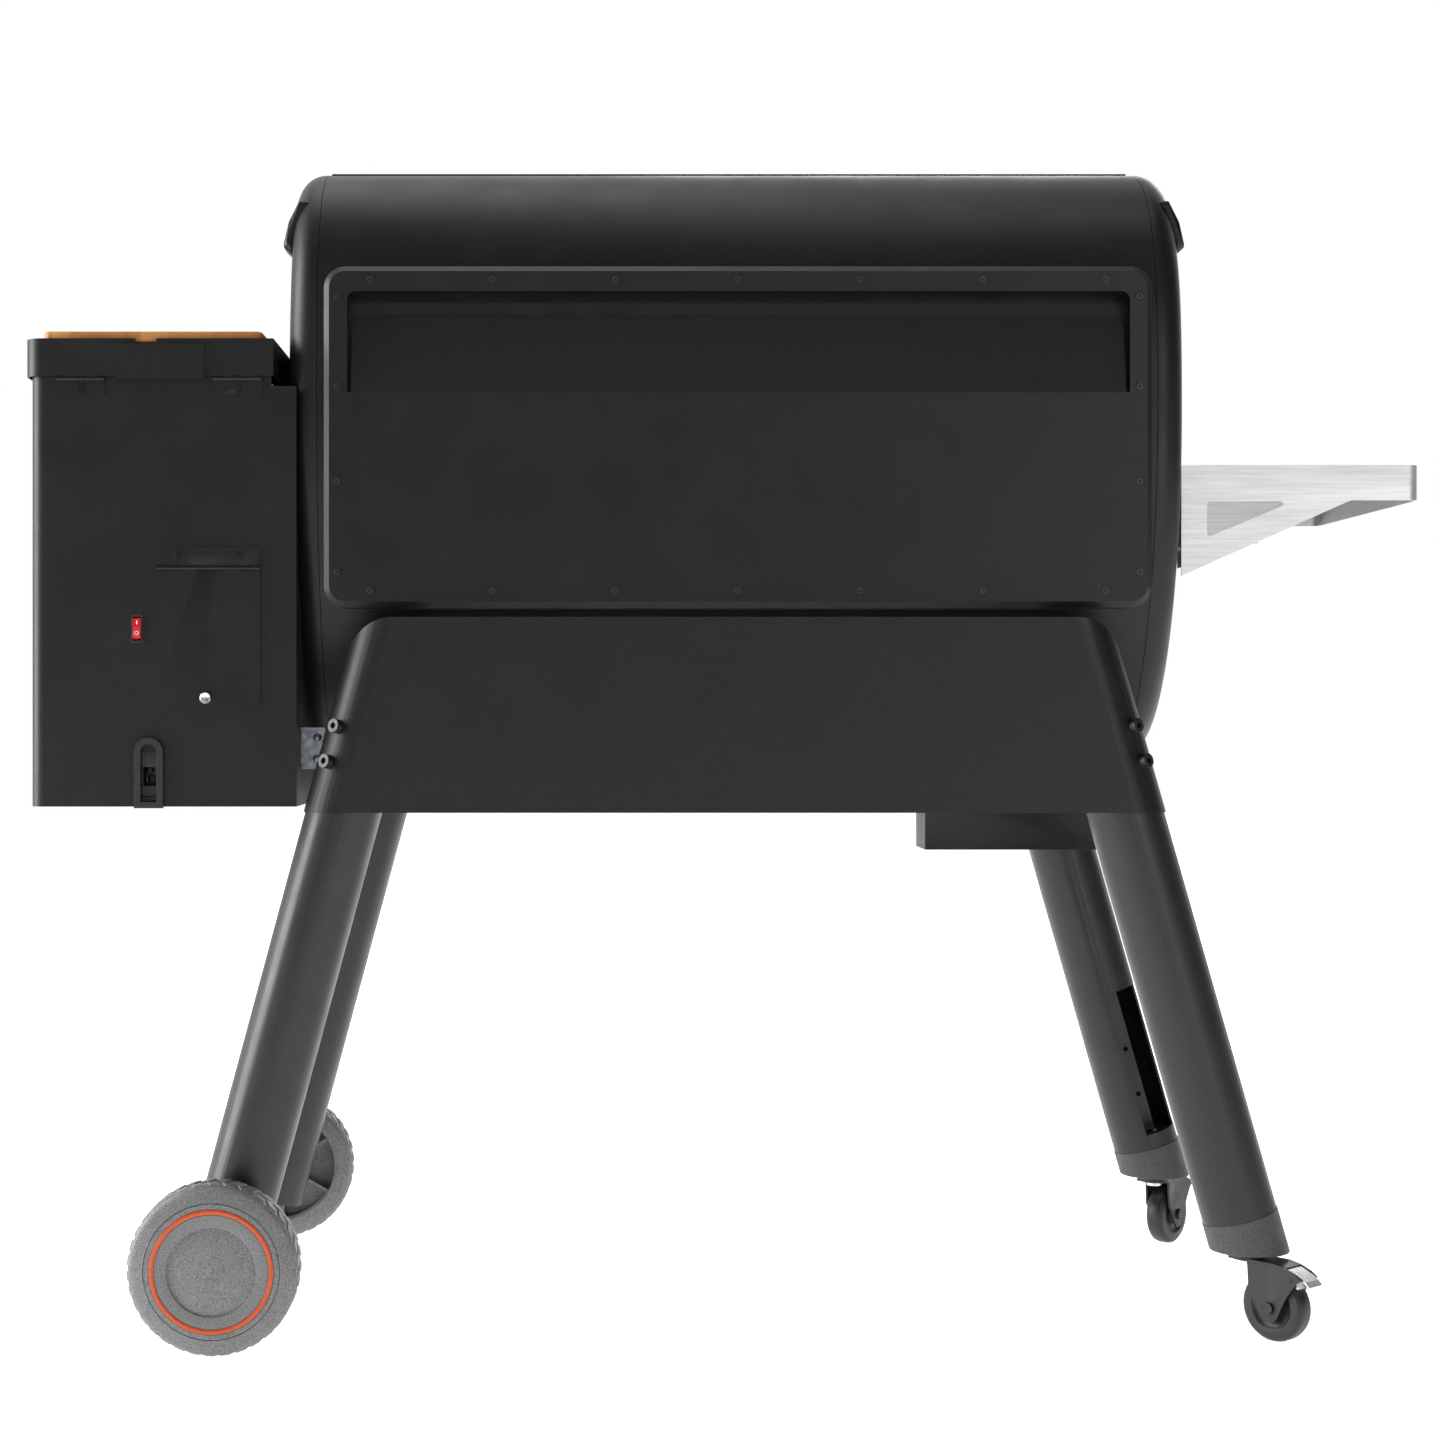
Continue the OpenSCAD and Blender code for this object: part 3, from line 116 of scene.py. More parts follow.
def mesh_object(name, points, faces):
    """An object from millimetre points and faces, with its faces turned outward."""
    bm = bmesh.new()
    verts = [bm.verts.new((x * MM, y * MM, z * MM)) for x, y, z in points]
    for f in faces:
        if len(set(f)) > 2:
            bm.faces.new([verts[i] for i in f])
    bmesh.ops.remove_doubles(bm, verts=bm.verts, dist=WELD)
    bmesh.ops.delete(bm, geom=[e for e in bm.edges if not e.link_faces], context="EDGES")
    bmesh.ops.recalc_face_normals(bm, faces=bm.faces)
    mesh = bpy.data.meshes.new(name)
    bm.to_mesh(mesh)
    bm.free()
    return new_object(name, mesh)


def loft(name, loops, ends=True, ring=False):
    """Skin over equal-length closed loops. ends closes the first and last, ring joins them."""
    n = len(loops[0])
    points = [p for loop in loops for p in loop]
    faces = []
    last = len(loops) if ring else len(loops) - 1
    for i in range(last):
        a, b = i * n, ((i + 1) % len(loops)) * n
        for j in range(n):
            k = (j + 1) % n
            faces.append((a + j, a + k, b + k, b + j))
    if ends and not ring:
        faces.append(tuple(range(n)))
        faces.append(tuple(range(len(loops) * n - n, len(loops) * n)))
    return mesh_object(name, points, faces)


def extrude(name, outline, low, high, plane="xz"):
    """An outline swept between two coordinates of the axis its plane leaves out."""
    order = {"xz": (0, 2, 1), "yz": (2, 0, 1), "xy": (0, 1, 2)}[plane]
    return loft(name, [[tuple((a, b, c)[k] for k in order) for a, b in outline] for c in (low, high)])


def lathe(name, profile, centre, axis="y", steps=96, flip=1):
    """A closed profile of (radius, distance along the axis) turned about an axis through centre."""
    loops = []
    for i in range(steps):
        c, s = math.cos(i * math.tau / steps), math.sin(i * math.tau / steps)
        loops.append([[r * c, d * flip, r * s] for r, d in profile])
    swap = {"y": (0, 1, 2), "x": (1, 0, 2), "z": (0, 2, 1)}[axis]
    loops = [[tuple(centre[k] + p[swap[k]] for k in range(3)) for p in loop] for loop in loops]
    return loft(name, loops, ring=True)


def apply(o):
    """Makes the object's modifiers part of its mesh."""
    bpy.context.view_layer.update()
    done = bpy.data.meshes.new_from_object(o.evaluated_get(bpy.context.evaluated_depsgraph_get()))
    o.modifiers.clear()
    o.data = done


def soften(o, width=0.6, segments=2, angle=SHARP, smooth=SHARP):
    """Rounds the edges sharper than angle and shades the rest smooth."""
    o.data.shade_smooth()
    o.data.set_sharp_from_angle(angle=math.radians(smooth))
    if width:
        m = o.modifiers.new("bevel", "BEVEL")
        m.width = width * MM
        m.segments = segments
        m.limit_method = "ANGLE"
        m.angle_limit = math.radians(angle)
        m.harden_normals = True
        m.use_clamp_overlap = True
        m.miter_outer = "MITER_ARC"
        apply(o)
    return o


def cut(o, *tools):
    for t in tools:
        m = o.modifiers.new("cut", "BOOLEAN")
        m.object = t
        m.solver = "EXACT"
        apply(o)
        bpy.data.objects.remove(t)
    return o


def join(o, *others):
    """Adds the others' meshes to o as more shells."""
    bm = bmesh.new()
    bm.from_mesh(o.data)
    for other in others:
        bm.from_mesh(other.data)
        bpy.data.objects.remove(other)
    bm.to_mesh(o.data)
    bm.free()
    return o


def refined(node, width):
    """A copy of a CAD node with its flat faces merged and its edges rounded."""
    bm = bmesh.new()
    bm.from_mesh(NODES[node].data)
    bmesh.ops.remove_doubles(bm, verts=bm.verts, dist=2 * WELD)
    bmesh.ops.dissolve_limit(
        bm, angle_limit=math.radians(FLAT), use_dissolve_boundaries=False, verts=bm.verts, edges=bm.edges
    )
    bmesh.ops.recalc_face_normals(bm, faces=bm.faces)
    mesh = bpy.data.meshes.new(node + "_finished")
    bm.to_mesh(mesh)
    bm.free()
    o = new_object(mesh.name, mesh)
    return soften(o, width, smooth=BENT.get(node, SHARP))


# The exhaust cover's flap leans so little that its bend needs a lower limit to stay a crisp line
BENT = {"exhaust_panel": 8}
BODY_OF = {n: o["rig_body"] for n, o in NODES.items()}


def piece(o, material, body, slot, *nodes):
    """Gives a piece its finish and body; nodes are the CAD nodes it stands for."""
    o.data.materials.clear()
    o.data.materials.append(material)
    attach(o, body)
    if nodes:
        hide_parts(*nodes)
    return o


# ---------- Finishes ----------


def new_material(name):
    m = bpy.data.materials.new(name)
    m.use_nodes = True
    m.node_tree.nodes.clear()
    return m, m.node_tree


def grain(tree, scale, detail=2, rough=0.5, stretch=(1, 1, 1), offset=(0, 0, 0)):
    """Noise whose size is set per metre in object space."""
    place = add(tree, "ShaderNodeTexCoord")
    sources = {"Vector": place.outputs["Object"]}
    where = add(tree, "ShaderNodeMapping", sources, Scale=stretch, Location=offset)
    size = {"Scale": scale, "Detail": detail, "Roughness": rough}
    return add(tree, "ShaderNodeTexNoise", {"Vector": where.outputs["Vector"]}, **size)


def surface(
    name,
    dark,
    light,
    speck_mm,
    rough=(0.4, 0.5),
    metallic=0.0,
    bump=0.0,
    bump_mm=None,
    stretch=(1, 1, 1),
    spread=(0.35, 0.65),
    wave_mm=None,
    coat=0.0,
    ior=1.5,
    specular=0.5,
    glow=0.0,
):
    """A finish whose colour and roughness wander between two values at a real grain size."""
    m, tree = new_material(name)
    noise = grain(tree, 1000 / speck_mm, 2, 0.55, stretch)
    low, high = spread
    colour = add(tree, "ShaderNodeMapRange", {"Value": noise.outputs["Fac"]}, From_Min=low, From_Max=high)
    mix = add(tree, "ShaderNodeMix", {"Factor": colour.outputs["Result"]}, data_type="RGBA")
    mix.inputs[6].default_value = srgb(dark)
    mix.inputs[7].default_value = srgb(light)
    gloss_noise = grain(tree, 1000 / (wave_mm or speck_mm * 9), 3, 0.5, stretch, (3, 1, 7))
    gloss = add(
        tree,
        "ShaderNodeMapRange",
        {"Value": gloss_noise.outputs["Fac"]},
        From_Min=0.3,
        From_Max=0.7,
        To_Min=rough[0],
        To_Max=rough[1],
    )
    shader = add(
        tree,
        "ShaderNodeBsdfPrincipled",
        {"Base Color": mix.outputs[2], "Roughness": gloss.outputs["Result"]},
        Metallic=metallic,
    )
    if not metallic:
        shader.inputs["IOR"].default_value = ior
        shader.inputs["Specular IOR Level"].default_value = specular
    if glow:
        shader.inputs["Emission Color"].default_value = (1, 1, 1, 1)
        shader.inputs["Emission Strength"].default_value = glow
    if coat:
        shader.inputs["Coat Weight"].default_value = coat
        shader.inputs["Coat Roughness"].default_value = 0.25
    if bump:
        height = grain(tree, 1000 / (bump_mm or speck_mm), 2, 0.5, stretch, (5, 2, 1))
        sources = {"Height": height.outputs["Fac"]}
        relief = add(tree, "ShaderNodeBump", sources, Strength=bump, Distance=0.4 * MM)
        tree.links.new(relief.outputs["Normal"], shader.inputs["Normal"])
    out = add(tree, "ShaderNodeOutputMaterial")
    tree.links.new(shader.outputs["BSDF"], out.inputs["Surface"])
    return m


# Black powder coat: baked polyester powder, a satin black with a fine orange peel that sparkles a little
POWDER = surface(
    "black_powder_coat", "#0e0e0f", "#171718", 2.2, (0.38, 0.46),
    bump=0.10, bump_mm=2.0, wave_mm=60, specular=0.3,
)
# Powder coat on the leg tubes: the same powder, slightly glossier so a lamp draws a streak down the tube
TUBE = surface(
    "black_powder_coat_tube", "#101011", "#1a1a1b", 2.0, (0.36, 0.44),
    bump=0.16, bump_mm=1.8, wave_mm=40, specular=0.45,
)
# Galvanised sheet: zinc with a bluish grey mottle from its crystals
ZINC = surface("galvanised_steel", "#7c8088", "#a9adb5", 7.0, (0.35, 0.55), 1.0, bump=0.05, wave_mm=12)
# Brushed stainless sheet: bright, with long fine lines along X
STAINLESS = surface(
    "brushed_stainless", "#bcbdbe", "#cbcbcb", 3.0, (0.42, 0.5), 1.0,
    bump=0.06, stretch=(0.05, 1.4, 1.4), wave_mm=14,
)
# Zinc plated fastener steel: bright and a little cloudy
BRIGHT = surface("bright_zinc_plate", "#b9bab8", "#dadad6", 2.5, (0.2, 0.34), 1.0, bump=0.04, wave_mm=8)
# Turned silver thumb screw: nickel plate, paler than the zinc
NICKEL = surface("turned_nickel", "#cfcfcb", "#efeee9", 1.2, (0.22, 0.36), 1.0, bump=0.05, wave_mm=4)
# Black oxide on socket screws: near black with a dull oil sheen
OXIDE = surface("black_oxide_steel", "#0b0b0c", "#151516", 1.0, (0.35, 0.5), bump=0.08, wave_mm=3)
# Porcelain enamel on the grates' rods: glossy black glass over steel
ENAMEL = surface("porcelain_enamel", "#0e0e0f", "#1b1b1c", 1.6, (0.2, 0.35), bump=0.12, wave_mm=9, coat=0.4)
# Sooted steel in the fire zone: dull brown-grey heat tint
SOOT = surface("heat_tinted_steel", "#3b3631", "#6a6460", 9.0, (0.5, 0.7), 1.0, bump=0.15, wave_mm=30)
# Moulded grey polypropylene of the wheels: mid grey with a spark-eroded mould grain that reads as speckle
WHEEL_GREY = surface(
    "moulded_grey_polypropylene", "#4e4e4f", "#818182", 1.5, (0.42, 0.55),
    bump=0.5, bump_mm=1.6, spread=(0.3, 0.7),
)
# The sleeves' darker moulded nylon
SLEEVE_GREY = surface("moulded_dark_nylon", "#2e2e2f", "#464647", 1.8, (0.45, 0.6), bump=0.35, bump_mm=1.6)
# Orange moulded ABS of the wheel rings: clean saturated plastic with a soft gloss
ORANGE = surface("moulded_orange_abs", "#b04210", "#ba4c14", 2.5, (0.35, 0.45), bump=0.05)
# Red rocker: glossy dyed polycarbonate
RED = surface("glossy_red_polycarbonate", "#b3121a", "#c21b22", 2.0, (0.18, 0.28), bump=0.03, coat=0.3)
# White printed marks on the rocker: flat pad-printing ink
WHITE_INK = surface("white_pad_print", "#e4e2e0", "#f2f0ee", 1.0, (0.5, 0.6))
# Black moulded plastic of bezel, inlet, panel and caster parts: dull, fine grain
BLACK_ABS = surface("moulded_black_abs", "#0f0f10", "#19191a", 1.4, (0.42, 0.55), bump=0.25, bump_mm=1.2)
# Caster tread: hard nylon, slightly scuffed
CASTER_NYLON = surface("caster_nylon", "#101011", "#1c1c1d", 2.0, (0.38, 0.52), bump=0.2, bump_mm=1.8)
# Display window of the control panel: dark smoked acrylic
DISPLAY = surface("smoked_acrylic", "#07090b", "#0b0e11", 6.0, (0.08, 0.14), coat=0.5)


def bamboo_material():
    """Bamboo board: laminated strips along Y with fine fibre lines and small nodes, oiled orange tan."""
    m, tree = new_material("oiled_bamboo")
    place = add(tree, "ShaderNodeTexCoord")
    strip_m = 0.019
    split = add(tree, "ShaderNodeSeparateXYZ", {"Vector": place.outputs["Object"]})
    strips = add(tree, "ShaderNodeMath", {0: split.outputs["X"]}, operation="DIVIDE")
    strips.inputs[1].default_value = strip_m
    whole = add(tree, "ShaderNodeMath", {0: strips.outputs[0]}, operation="FLOOR")
    tone = add(tree, "ShaderNodeTexWhiteNoise", {"W": whole.outputs[0]}, noise_dimensions="1D")
    fibre = grain(tree, 900, 3, 0.6, (1, 0.035, 1))
    cloud = grain(tree, 26, 2, 0.5, (1, 0.2, 1), (2, 5, 1))
    sources = {0: fibre.outputs["Fac"], 1: tone.outputs["Value"], 2: cloud.outputs["Fac"]}
    blend = add(tree, "ShaderNodeMath", sources, operation="MULTIPLY_ADD")
    level = add(tree, "ShaderNodeMapRange", {"Value": blend.outputs[0]}, From_Min=0.45, From_Max=1.25)
    mix = add(tree, "ShaderNodeMix", {"Factor": level.outputs["Result"]}, data_type="RGBA")
    mix.inputs[6].default_value = srgb("#a8662a")
    mix.inputs[7].default_value = srgb("#dfa35a")
    relief = add(tree, "ShaderNodeBump", {"Height": fibre.outputs["Fac"]}, Strength=0.15, Distance=0.0003)
    sources = {"Base Color": mix.outputs[2], "Normal": relief.outputs["Normal"]}
    shader = add(tree, "ShaderNodeBsdfPrincipled", sources, Roughness=0.48)
    out = add(tree, "ShaderNodeOutputMaterial")
    tree.links.new(shader.outputs["BSDF"], out.inputs["Surface"])
    return m


BAMBOO = bamboo_material()

# ---------- Barrel ----------

HALF_D, MID_Z, CROWN_H, DROP = 224.0, 984.0, 283.6, 374.0
CROWN_POWER = 3.0
SEAM_HI, SEAM_LO = 440.0, -453.0
DRAIN_X, DRAIN_R = -375, 16
PIVOT_Y, PIVOT_Z = 150, 1180
AUGER_Z = 676
SHELF_BOLTS = [(y, z) for y in (150, -168) for z in (842, 912)]


def barrel_point(angle, inset):
    """The barrel's outline at an angle in degrees, inset millimetres inside it."""
    c, s = math.cos(math.radians(angle)), math.sin(math.radians(angle))
    if s >= 0:
        p = 2 / CROWN_POWER
        y = math.copysign(abs(c) ** p, c) * (HALF_D - inset)
        return y, MID_Z + (CROWN_H - inset) * s**p
    return (HALF_D - inset) * c, MID_Z + (DROP - inset) * s


def y_angle(y):
    """The angle on the upper half where the outline is y millimetres behind the middle."""
    return math.degrees(math.acos((y / HALF_D) ** (CROWN_POWER / 2)))


def z_angle(z):
    """The angle below the widest line at the back where the outline is at height z."""
    return math.degrees(math.asin((z - MID_Z) / DROP))


def barrel_sheet(name, start, stop, x0, x1, outer, inner, steps=260):
    """A curved sheet of the barrel between two angles and two X positions."""
    angles = [start + (stop - start) * i / steps for i in range(steps + 1)]
    section = [barrel_point(a, outer) for a in angles] + [barrel_point(a, inner) for a in reversed(angles)]
    return extrude(name, section, x0, x1, "yz")


def rounded_rectangle(x0, x1, z0, z1, r, steps=8):
    """A closed outline with four round corners."""
    corners = [(x1 - r, z1 - r, 0), (x0 + r, z1 - r, 90), (x0 + r, z0 + r, 180), (x1 - r, z0 + r, 270)]
    turns = [(x, z, math.radians(a + 90 * i / steps)) for x, z, a in corners for i in range(steps + 1)]
    return [(x + r * math.cos(t), z + r * math.sin(t)) for x, z, t in turns]


# The wrap runs from its lip under the hood, over the back and belly, to under the hood's front edge
wrap = barrel_sheet("barrel_wrap", y_angle(56), -180 - z_angle(872), SEAM_LO + 0.3, SEAM_HI - 0.3, 0, 2)
slot_tool = extrude("slot_tool", rounded_rectangle(-380, 370, 806, 832, 12), 100, 300)
drain_hole = [(0, 560), (DRAIN_R, 560), (DRAIN_R, 660), (0, 660)]
drain_tool = lathe("drain_tool", drain_hole, (DRAIN_X, 0, 0), "z", 48)
cut(wrap, slot_tool, drain_tool)
soften(wrap, 0.7, 3, 50, 20)
spout_wall = [(DRAIN_R, 557), (DRAIN_R + 2, 557), (DRAIN_R + 2, 612.5), (DRAIN_R, 612.5)]
spout = lathe("drain_spout", spout_wall, (DRAIN_X, 0, 0), "z", 64)
soften(spout, 0.4)
piece(wrap, POWDER, "stand", "black_powder_coat", "barrel_shell")
piece(spout, POWDER, "stand", "black_powder_coat", "barrel_shell")

hood = barrel_sheet("hood_skin", y_angle(76), 180 - z_angle(856), SEAM_LO + 1.2, SEAM_HI - 1.2, -2.4, -0.4)
soften(hood, 0.6, 3, 50, 20)
piece(hood, POWDER, "hood", "black_powder_coat", "hood")


def cap_rings(side, seam, thickness):
    """Rings of an end cap's skin from its seam to its middle: a rolled corner, then a shallow dome."""
    corner_r, dome = 30, 14.2
    profile = [(0.3, 0.0), (2.6, 0.0)]
    profile += [
        (3 + (corner_r - 1) * math.sin(math.radians(a)), corner_r * 0.97 * (1 - math.cos(math.radians(a))))
        for a in range(6, 76, 6)
    ]
    profile += [(30.6 + dome * math.sin(math.radians(9 * u)) * 0.96, 22 + 15 * u) for u in range(1, 12)]
    profile += [(44.2, 205)]
    return [
        [
            (seam + side * (x - thickness * min(1, d / 12)), *barrel_point(a * 1.5, d + thickness))
            for a in range(240)
        ]
        for x, d in profile
    ]


for side, seam, node in ((1, SEAM_HI, "end_cap_hopper_side"), (-1, SEAM_LO, "end_cap_shelf_side")):
    cap = loft(node + "_skin", list(reversed(cap_rings(side, seam, 0))) + cap_rings(side, seam, 2))
    holes = ((6.05, 300, 600), (30, 380, 560), (4.3, 380, 560))
    pin_hole, tube_hole, bolt_hole = ([(0, near), (r, near), (r, far), (0, far)] for r, near, far in holes)
    tools = [lathe("pin_tool", pin_hole, (0, PIVOT_Y, PIVOT_Z), "x", 48, side)]
    if side > 0:
        tools.append(lathe("tube_tool", tube_hole, (0, 0, AUGER_Z), "x", 64))
    else:
        tools += [lathe("bolt_tool", bolt_hole, (0, y, z), "x", 32, -1) for y, z in SHELF_BOLTS]
    cut(cap, *tools)
    soften(cap, 0.5, 2, 50, 24)
    piece(cap, POWDER, "stand", "black_powder_coat", node)

# ---------- CAD shapes that keep their form and get rounded edges ----------

ROUNDED = [
    # node, edge radius, finish
    ("hinge_covers", 0.8, POWDER),
    ("handle_brackets", 2.0, POWDER),
    ("exhaust_frame", 0.8, POWDER),
    ("exhaust_panel", 0.4, POWDER),
    ("panel_screws", 0.3, OXIDE),
    ("rear_apron", 0.5, POWDER),
    ("front_apron", 0.5, POWDER),
    ("apron_bolts", 0.7, OXIDE),
    ("cradle_saddles", 0.4, POWDER),
    ("leg_rear_hopper", 0.6, TUBE),
    ("leg_front_hopper", 0.6, TUBE),
    ("leg_rear_shelf", 0.6, TUBE),
    ("leg_front_shelf", 0.6, TUBE),
    ("leg_end_sleeves", 1.2, SLEEVE_GREY),
    ("wheel_axles", 0.8, BRIGHT),
    ("caster_stems", 0.6, BRIGHT),
    ("rear_caster_fork", 0.8, BLACK_ABS),
    ("front_caster_fork", 0.8, BLACK_ABS),
    ("rear_caster_wheel", 1.0, CASTER_NYLON),
    ("front_caster_wheel", 1.0, CASTER_NYLON),
    ("brake_lever", 0.6, BRIGHT),
    ("hopper_casing", 0.5, POWDER),
    ("hinge_leaves", 0.25, POWDER),
    ("hopper_lid", 0.5, POWDER),
    ("cleanout_door", 0.3, POWDER),
    ("switch_bezel", 0.5, BLACK_ABS),
    ("switch_rocker", 0.5, RED),
    ("cord_inlet", 0.9, BLACK_ABS),
    ("control_panel", 1.6, BLACK_ABS),
    ("control_button", 1.0, SLEEVE_GREY),
    ("grease_tray", 0.5, POWDER),
    ("side_shelf", 0.7, STAINLESS),
    ("shelf_bolts", 0.7, BRIGHT),
    ("hood_arms", 0.6, ZINC),
    ("hood_pivot_pins", 0.6, BRIGHT),
]
SLOT_OF = {s["node"]: s["material_slot"] for s in frame["record"]["subparts"]}
for node, radius, finish in ROUNDED:
    piece(refined(node, radius), finish, BODY_OF[node], SLOT_OF[node], node)

# Hidden working parts stay as they are and only get their finish
KEPT = {
    "barrel_liner": ZINC,
    "hopper_bin": ZINC,
    "auger_tube": ZINC,
    "auger": BRIGHT,
    "auger_motor": ZINC,
    "fan_housing": ZINC,
    "fan_impeller": ZINC,
    "firepot": SOOT,
    "drip_tray": SOOT,
    "lower_grate": ENAMEL,
    "upper_grate": ENAMEL,
}
for node, finish in KEPT.items():
    NODES[node].data.materials.clear()
    NODES[node].data.materials.append(finish)

# ---------- Wheels ----------

AXLE_X, AXLE_Z = sum(c[0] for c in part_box("rear_wheel")) / 2 / MM, 88.5
WHEEL_IN, WHEEL_OUT = 267.5, 317.5


def wheel_lugs(name, sign):
    """Two rows of slanted tread lugs, one row half a pitch round from the other."""
    count, low, high = 34, 85.5, 88.5
    points, faces = [], []
    for row, (d0, d1) in enumerate(((6.5, 21.5), (24.5, 40.5))):
        slant = 3.4 if row else -3.4
        for i in range(count):
            mid = (i + row / 2) * 360 / count
            base = len(points)
            for r, half in ((low, 4.0), (high - 0.9, 3.5), (high, 3.0)):
                drop = 1.6 if r == high else 0.3
                for d, lean in ((d0 + drop, -slant), (d1 - drop, slant)):
                    for edge in (-half, half):
                        a = math.radians(mid + lean / 2 + edge)
                        points.append(
                            (AXLE_X + r * math.cos(a), sign * (WHEEL_IN + d), AXLE_Z + r * math.sin(a))
                        )
            for k in (0, 4):
                b = base + k
                faces += [(b, b + 1, b + 5, b + 4), (b + 1, b + 3, b + 7, b + 5)]
                faces += [(b + 3, b + 2, b + 6, b + 7), (b + 2, b, b + 4, b + 6)]
            faces += [(base, base + 2, base + 3, base + 1), (base + 8, base + 9, base + 11, base + 10)]
    return mesh_object(name, points, faces)


def wheel_rib(i, sign):
    """One of the radial ribs between a wheel's hub and its rim."""
    a = math.radians(30 + 60 * i)
    c, s = math.cos(a), math.sin(a)
    rib = extrude("rib", [(15, -1.6), (65.5, -1.6), (65.5, 1.6), (15, 1.6)], 12, 30.5, "xy")
    rib.data.transform(
        Matrix(
            (
                (c, -s, 0, AXLE_X * MM),
                (0, 0, sign, sign * WHEEL_IN * MM),
                (s, c, 0, AXLE_Z * MM),
                (0, 0, 0, 1),
            )
        )
    )
    return rib


for sign, end in ((1, "rear"), (-1, "front")):
    centre = (AXLE_X, sign * WHEEL_IN, AXLE_Z)
    body = end + "_wheel"
    rim = [
        (6.4, 6), (15, 6), (16, 7), (17.5, 30), (64, 30), (65.5, 12), (67, 2.2), (69, 0.6), (72, 0),
        (79, 0), (83, 0.8), (86, 3), (87.1, 6), (87.1, 41), (86, 43.2), (83, 45), (79, 46.4), (70.4, 48.3),
        (70.2, 41), (6.4, 41),
    ]  # fmt: skip
    wheel = lathe(end + "_wheel_rim", rim, centre, "y", 144, sign)
    # Ribs inside the rim and lugs round it are made one body with it
    tools = [*(wheel_rib(i, sign) for i in range(6)), wheel_lugs("lugs", sign)]
    for tool in tools:
        m = wheel.modifiers.new("join", "BOOLEAN")
        m.operation = "UNION"
        m.object = tool
        m.solver = "EXACT"
    apply(wheel)
    for tool in tools:
        bpy.data.objects.remove(tool)
    soften(wheel, 0, smooth=35)
    piece(wheel, WHEEL_GREY, body, "grey_plastic", end + "_wheel")
    cover = [
        (9, 41.3), (69.6, 41.3), (69.8, 47.9), (69.2, 48.3), (64.6, 48.7), (64.3, 48.2), (64.2, 46),
        (58.8, 46), (58.7, 48.6), (58.3, 49), (47.2, 49.2), (46.4, 48.9), (45.8, 47.2), (45, 46.8),
        (36, 48.1), (25, 49.2), (13, 49.8), (0, 49.9), (0, 43.5), (9, 43.5),
    ]  # fmt: skip
    hub = soften(lathe(end + "_hub_disc", cover, centre, "y", 144, sign), 0, smooth=28)
    piece(hub, WHEEL_GREY, body, "grey_plastic", end + "_hub_cover")
    band = [(59, 46.1), (64, 46.1), (64, 48.9), (63.4, 49.4), (61.5, 49.6), (59.6, 49.4), (59, 48.9)]
    ring = soften(lathe(end + "_accent_ring", band, centre, "y", 144, sign), 0, smooth=40)
    piece(ring, ORANGE, body, "orange_plastic", "wheel_rings_" + end)

# ---------- Handle, knobs, board, marks ----------


def knurled(name, profile, centre, axis, flip, teeth, depth):
    """A turned grip whose outer wall has shallow teeth; the profile's radii above grip_r carry them."""
    steps = teeth * 4
    o = lathe(name, profile, centre, axis, steps, flip)
    grip_r = max(r for r, _ in profile) * 0.93
    swap = {"y": (0, 2), "x": (1, 2), "z": (0, 1)}[axis]
    for v in o.data.vertices:
        a, b = (v.co[k] / MM - centre[k] for k in swap)
        r = math.hypot(a, b)
        if r > grip_r:
            wave = 1 - depth / r * (0.5 + 0.5 * math.cos(math.atan2(b, a) * teeth))
            for k, value in zip(swap, (a, b)):
                v.co[k] = (centre[k] + value * wave) * MM
    return soften(o, 0, smooth=30)


GRIP_R, GRIP_LO, GRIP_HI = 12.5, -378, 366
grip = [(0, GRIP_LO - GRIP_R)]
for low, high, end in ((15, 90, GRIP_LO), (90, 180, GRIP_HI)):
    turns = [math.radians(a) for a in range(low, high + 1, 15)]
    grip += [(GRIP_R * math.sin(t), end - GRIP_R * math.cos(t)) for t in turns]
handle = soften(lathe("hood_grip", grip, (0, -276, 905), "x", 72), 0, smooth=40)
piece(handle, STAINLESS, "hood", "stainless", "hood_handle")

knob = knurled(
    "thumb_screw",
    [
        (0, -5), (2.5, -5), (2.5, 1.8), (5.6, 1.8), (6.35, 2.5), (6.35, 8.4),
        (5.9, 9), (5.2, 9.7), (4.6, 9.4), (0, 9.2),
    ],
    (556.5, 227, 677.2), "y", 1, 24, 0.5,
)  # fmt: skip
piece(knob, NICKEL, "cleanout_knob", "bright_zinc", "cleanout_knob")

dial = knurled(
    "control_dial_grip",
    [
        (0, -10), (4, -10), (4, 0.8), (19.5, 0.8), (21, 2), (20.4, 15),
        (19.2, 16.6), (17.6, 17), (16.8, 16.4), (0, 16.1),
    ],
    (603, -236, 864), "y", -1, 40, 0.7,
)  # fmt: skip
piece(dial, BRIGHT, "control_dial", "bright_zinc", "control_dial")
pointer = extrude("dial_pointer", rounded_rectangle(602.2, 603.8, 870, 880, 0.7, 4), -252.6, -251.8)
piece(soften(pointer, 0.2), WHITE_INK, "control_dial", "bright_zinc")

display = extrude("display_window", rounded_rectangle(548, 658, 902, 950, 4.5), -235.4, -234.05)
piece(soften(display, 0.3), DISPLAY, "stand", "dark_plastic")

